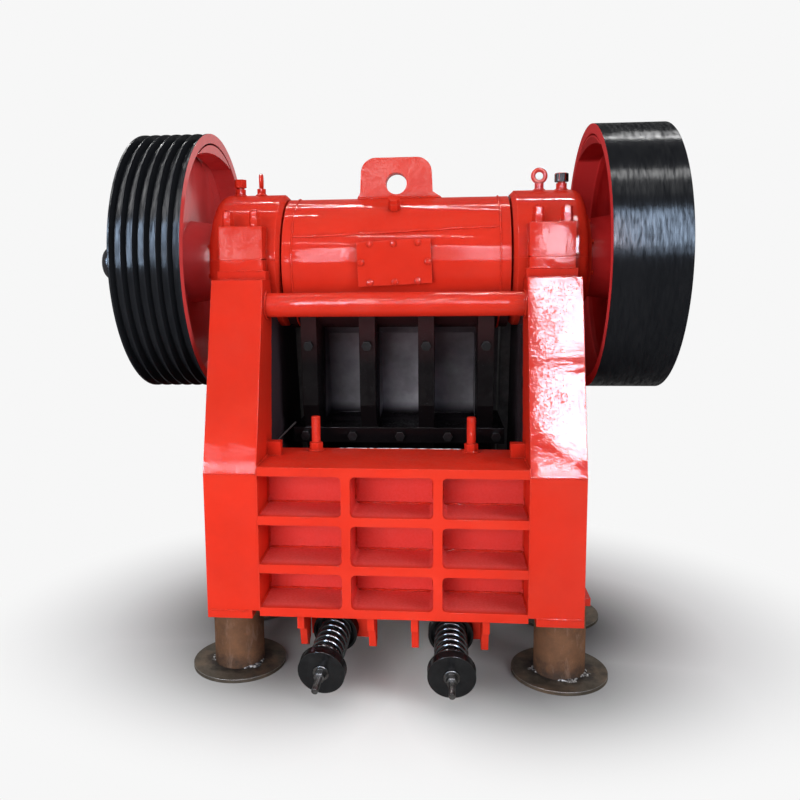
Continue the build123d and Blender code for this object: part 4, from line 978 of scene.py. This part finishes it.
def floor():
    """A pale floor with a pool of shade round the machine, partly cast by the lamps and partly painted:
    lighter between the stands, darker to the right and round listed patches. It fades into the background.
    """
    mesh = bmesh.new()
    bmesh.ops.create_grid(mesh, x_segments=4, y_segments=4, size=30)
    data = bpy.data.meshes.new("floor")
    mesh.to_mesh(data)
    ground = bpy.data.objects.new("floor", data)
    bpy.context.scene.collection.objects.link(ground)
    t = Tree("floor_pale")
    data.materials.append(t.material)
    # Painted shadow: the floor is grey in the pool, lighter between the stands, darker to the right and
    # darkest round the patches
    grey = t.mix(t.noise(1.5, 3), (0.56, 0.57, 0.58), (0.60, 0.61, 0.62))
    painted_light_middle = t.ramp(t.math("ABSOLUTE", t.math("SUBTRACT", t.axis("X"), ZERO.x + 0.02)), 0.12, 0.42)
    grey = t.mix(painted_light_middle, (0.86, 0.91, 0.91), grey)
    deep = t.mix(t.ramp(t.axis("X"), ZERO.x, ZERO.x + 0.4), (0.22, 0.22, 0.222), (0.13, 0.13, 0.132))
    painted_shadow = t.mix(t.ramp(near(t, SHADOW_PATCHES), 0.10, 0.55), deep, grey)
    t.finish(painted_shadow, 0.9, specular=0.1)
    glow = t.add("Emission", {"Color": (PALE, PALE, PALE, 1)}).outputs[0]
    pool = from_pool(t, half_x=1.75, behind=1.06, ahead=1.5, start=0.35, end=1.0)
    factor = t.product(pool, seen_straight(t.tree))
    mixed = t.add("MixShader", {0: factor, 1: t.shader.outputs[0], 2: glow}).outputs[0]
    t.put(t.tree.nodes["Material Output"].inputs["Surface"], mixed)


def lamp(name, place, aim, size, power, gloss=False, color=(1, 1, 1)):
    """A soft box; a gloss lamp shows only in polished faces, the others only light the paint."""
    data = bpy.data.lights.new(name, "AREA")
    data.shape = "RECTANGLE"
    data.size, data.size_y = size
    data.energy = power
    data.color = color
    light = bpy.data.objects.new(name, data)
    turn = (aim - place).to_track_quat("-Z", "Y")
    light.matrix_world = Matrix.Translation(place) @ turn.to_matrix().to_4x4()
    light.visible_glossy = gloss
    light.visible_diffuse = not gloss
    bpy.context.scene.collection.objects.link(light)
    return light


def window(name, x0, x1, z0, z1, glow, color=(0.97, 0.985, 1.0)):
    """An upright window behind the camera that shows in the enamel."""
    place = at((x0 + x1) / 2, WINDOW_Y, (z0 + z1) / 2)
    size = (abs(x1 - x0) / 1000, abs(z1 - z0) / 1000)
    lamp(name, place, place + Vector((0, 1, 0)), size, glow * math.pi * size[0] * size[1], True, color)


def strip(name, start, end, width, glow):
    """A long thin ceiling light between two points."""
    start, end = at(*start), at(*end)
    length = (end - start).length
    place = (start + end) / 2
    made = lamp(name, place, at(*HEART), (length, width), glow * math.pi * length * width, True)
    ahead = (end - start).normalized()
    down = (at(*HEART) - place).normalized()
    side = ahead.cross(down).normalized()
    turn = Matrix((ahead, side, ahead.cross(side))).transposed()
    made.matrix_world = Matrix.Translation(place) @ turn.to_4x4()


def beam():
    """A roof beam that crosses the lower right window."""
    mesh = bmesh.new()
    corners = ((700, 2278), (700, 2165), (1500, 1615), (1500, 1760))
    mesh.faces.new([mesh.verts.new(at(x, WINDOW_Y + 40, z)) for x, z in corners])
    data = bpy.data.meshes.new("beam")
    mesh.to_mesh(data)
    made = bpy.data.objects.new("beam", data)
    bpy.context.scene.collection.objects.link(made)
    t = Tree("beam_dark")
    data.materials.append(t.finish(t.mix(t.noise(3), (0.02, 0.02, 0.02), (0.04, 0.04, 0.04)), 0.9))
    made.visible_camera = False
    made.visible_diffuse = False


def world():
    """Even soft light, with a plain pale background wherever that is seen."""
    made = bpy.data.worlds.new("pale")
    bpy.context.scene.world = made
    made.use_nodes = True
    tree = made.node_tree
    tree.nodes.clear()
    out = tree.nodes.new("ShaderNodeOutputWorld")
    soft = tree.nodes.new("ShaderNodeBackground")
    soft.inputs[0].default_value = (0.97, 0.98, 1.0, 1)
    soft.inputs[1].default_value = 0.22
    pale = tree.nodes.new("ShaderNodeBackground")
    pale.inputs[0].default_value = (PALE, PALE, PALE, 1)
    both = tree.nodes.new("ShaderNodeMixShader")
    tree.links.new(seen_straight(tree), both.inputs[0])
    tree.links.new(soft.outputs[0], both.inputs[1])
    tree.links.new(pale.outputs[0], both.inputs[2])
    tree.links.new(both.outputs[0], out.inputs[0])


# Tints of the windows
BLUE = (0.56, 0.74, 1.0)
LILAC = (0.92, 0.87, 1.0)

floor()
world()
beam()

# Windows from X to X and from Z to Z, with their glow and tint
window("right_high", 925, 1480, 2820, 3860, 132, LILAC)
window("right_low", 880, 1480, 1770, 2710, 132, LILAC)
window("right_ear", 915, 1145, 1425, 1665, 55, LILAC)
window("right_far", 1520, 2300, 1950, 4400, 110, BLUE)
window("barrel_left", -1050, -560, 1590, 3450, 52, LILAC)
window("barrel_right", 250, 700, 1590, 3450, 26, LILAC)
window("middle", -540, 230, 1590, 3500, 11)
window("left_foot", -1950, -1200, 1770, 1900, 75, LILAC)
window("left_foot_soft", -1950, -1200, 1905, 2030, 12, LILAC)
window("left_ear", -1650, -1250, 1417, 1680, 20)
window("left_far", -2900, -2050, 1150, 4300, 110, BLUE)
window("right_far_low", 1520, 2300, 1480, 1950, 35, BLUE)

# Strips from end to end, with their width in metres and their glow
strip("ceiling_strip", (-2500, 2330, CEILING), (2500, 1330, CEILING), 0.07, 200)
strip("left_strip", (-1600, 640, CEILING), (-700, 560, CEILING), 0.07, 150)
strip("right_strip", (1000, -800, CEILING), (1900, -800, CEILING), 0.4, 60)
strip("right_strip_soft", (1000, -1500, CEILING), (1900, -1500, CEILING), 0.9, 5)
strip("right_ceiling", (1300, 1900, CEILING), (2000, 1760, CEILING), 0.6, 26)
strip("left_ceiling", (-2050, -3500, CEILING), (-1950, 2300, CEILING), 0.7, 32)
strip("barrel_strip", (-760, -2130, CEILING), (420, -2600, CEILING), 0.1, 120)
strip("tie_strip", (-1100, 3050, CEILING), (500, 980, CEILING), 0.06, 120)
strip("front_strip", (-1400, WINDOW_Y, 4500), (600, WINDOW_Y, 3150), 0.07, 120)

# Soft boxes with their size in metres and their power
lamp("front_fill", at(-1700, -4400, 1500), at(0, 300, 800), (3.0, 2.4), 168)
lamp("side_fill", at(3300, -2300, 2200), at(-700, 500, 1300), (1.8, 1.8), 72)
lamp("back_fill", at(1500, 5200, 2300), at(0, 900, 800), (3.0, 2.4), 48)
lamp("ceiling", at(0, -300, 4700), at(0, 300, 0), (4.8, 3.4), 80)

bpy.context.scene.view_settings.view_transform = "Standard"
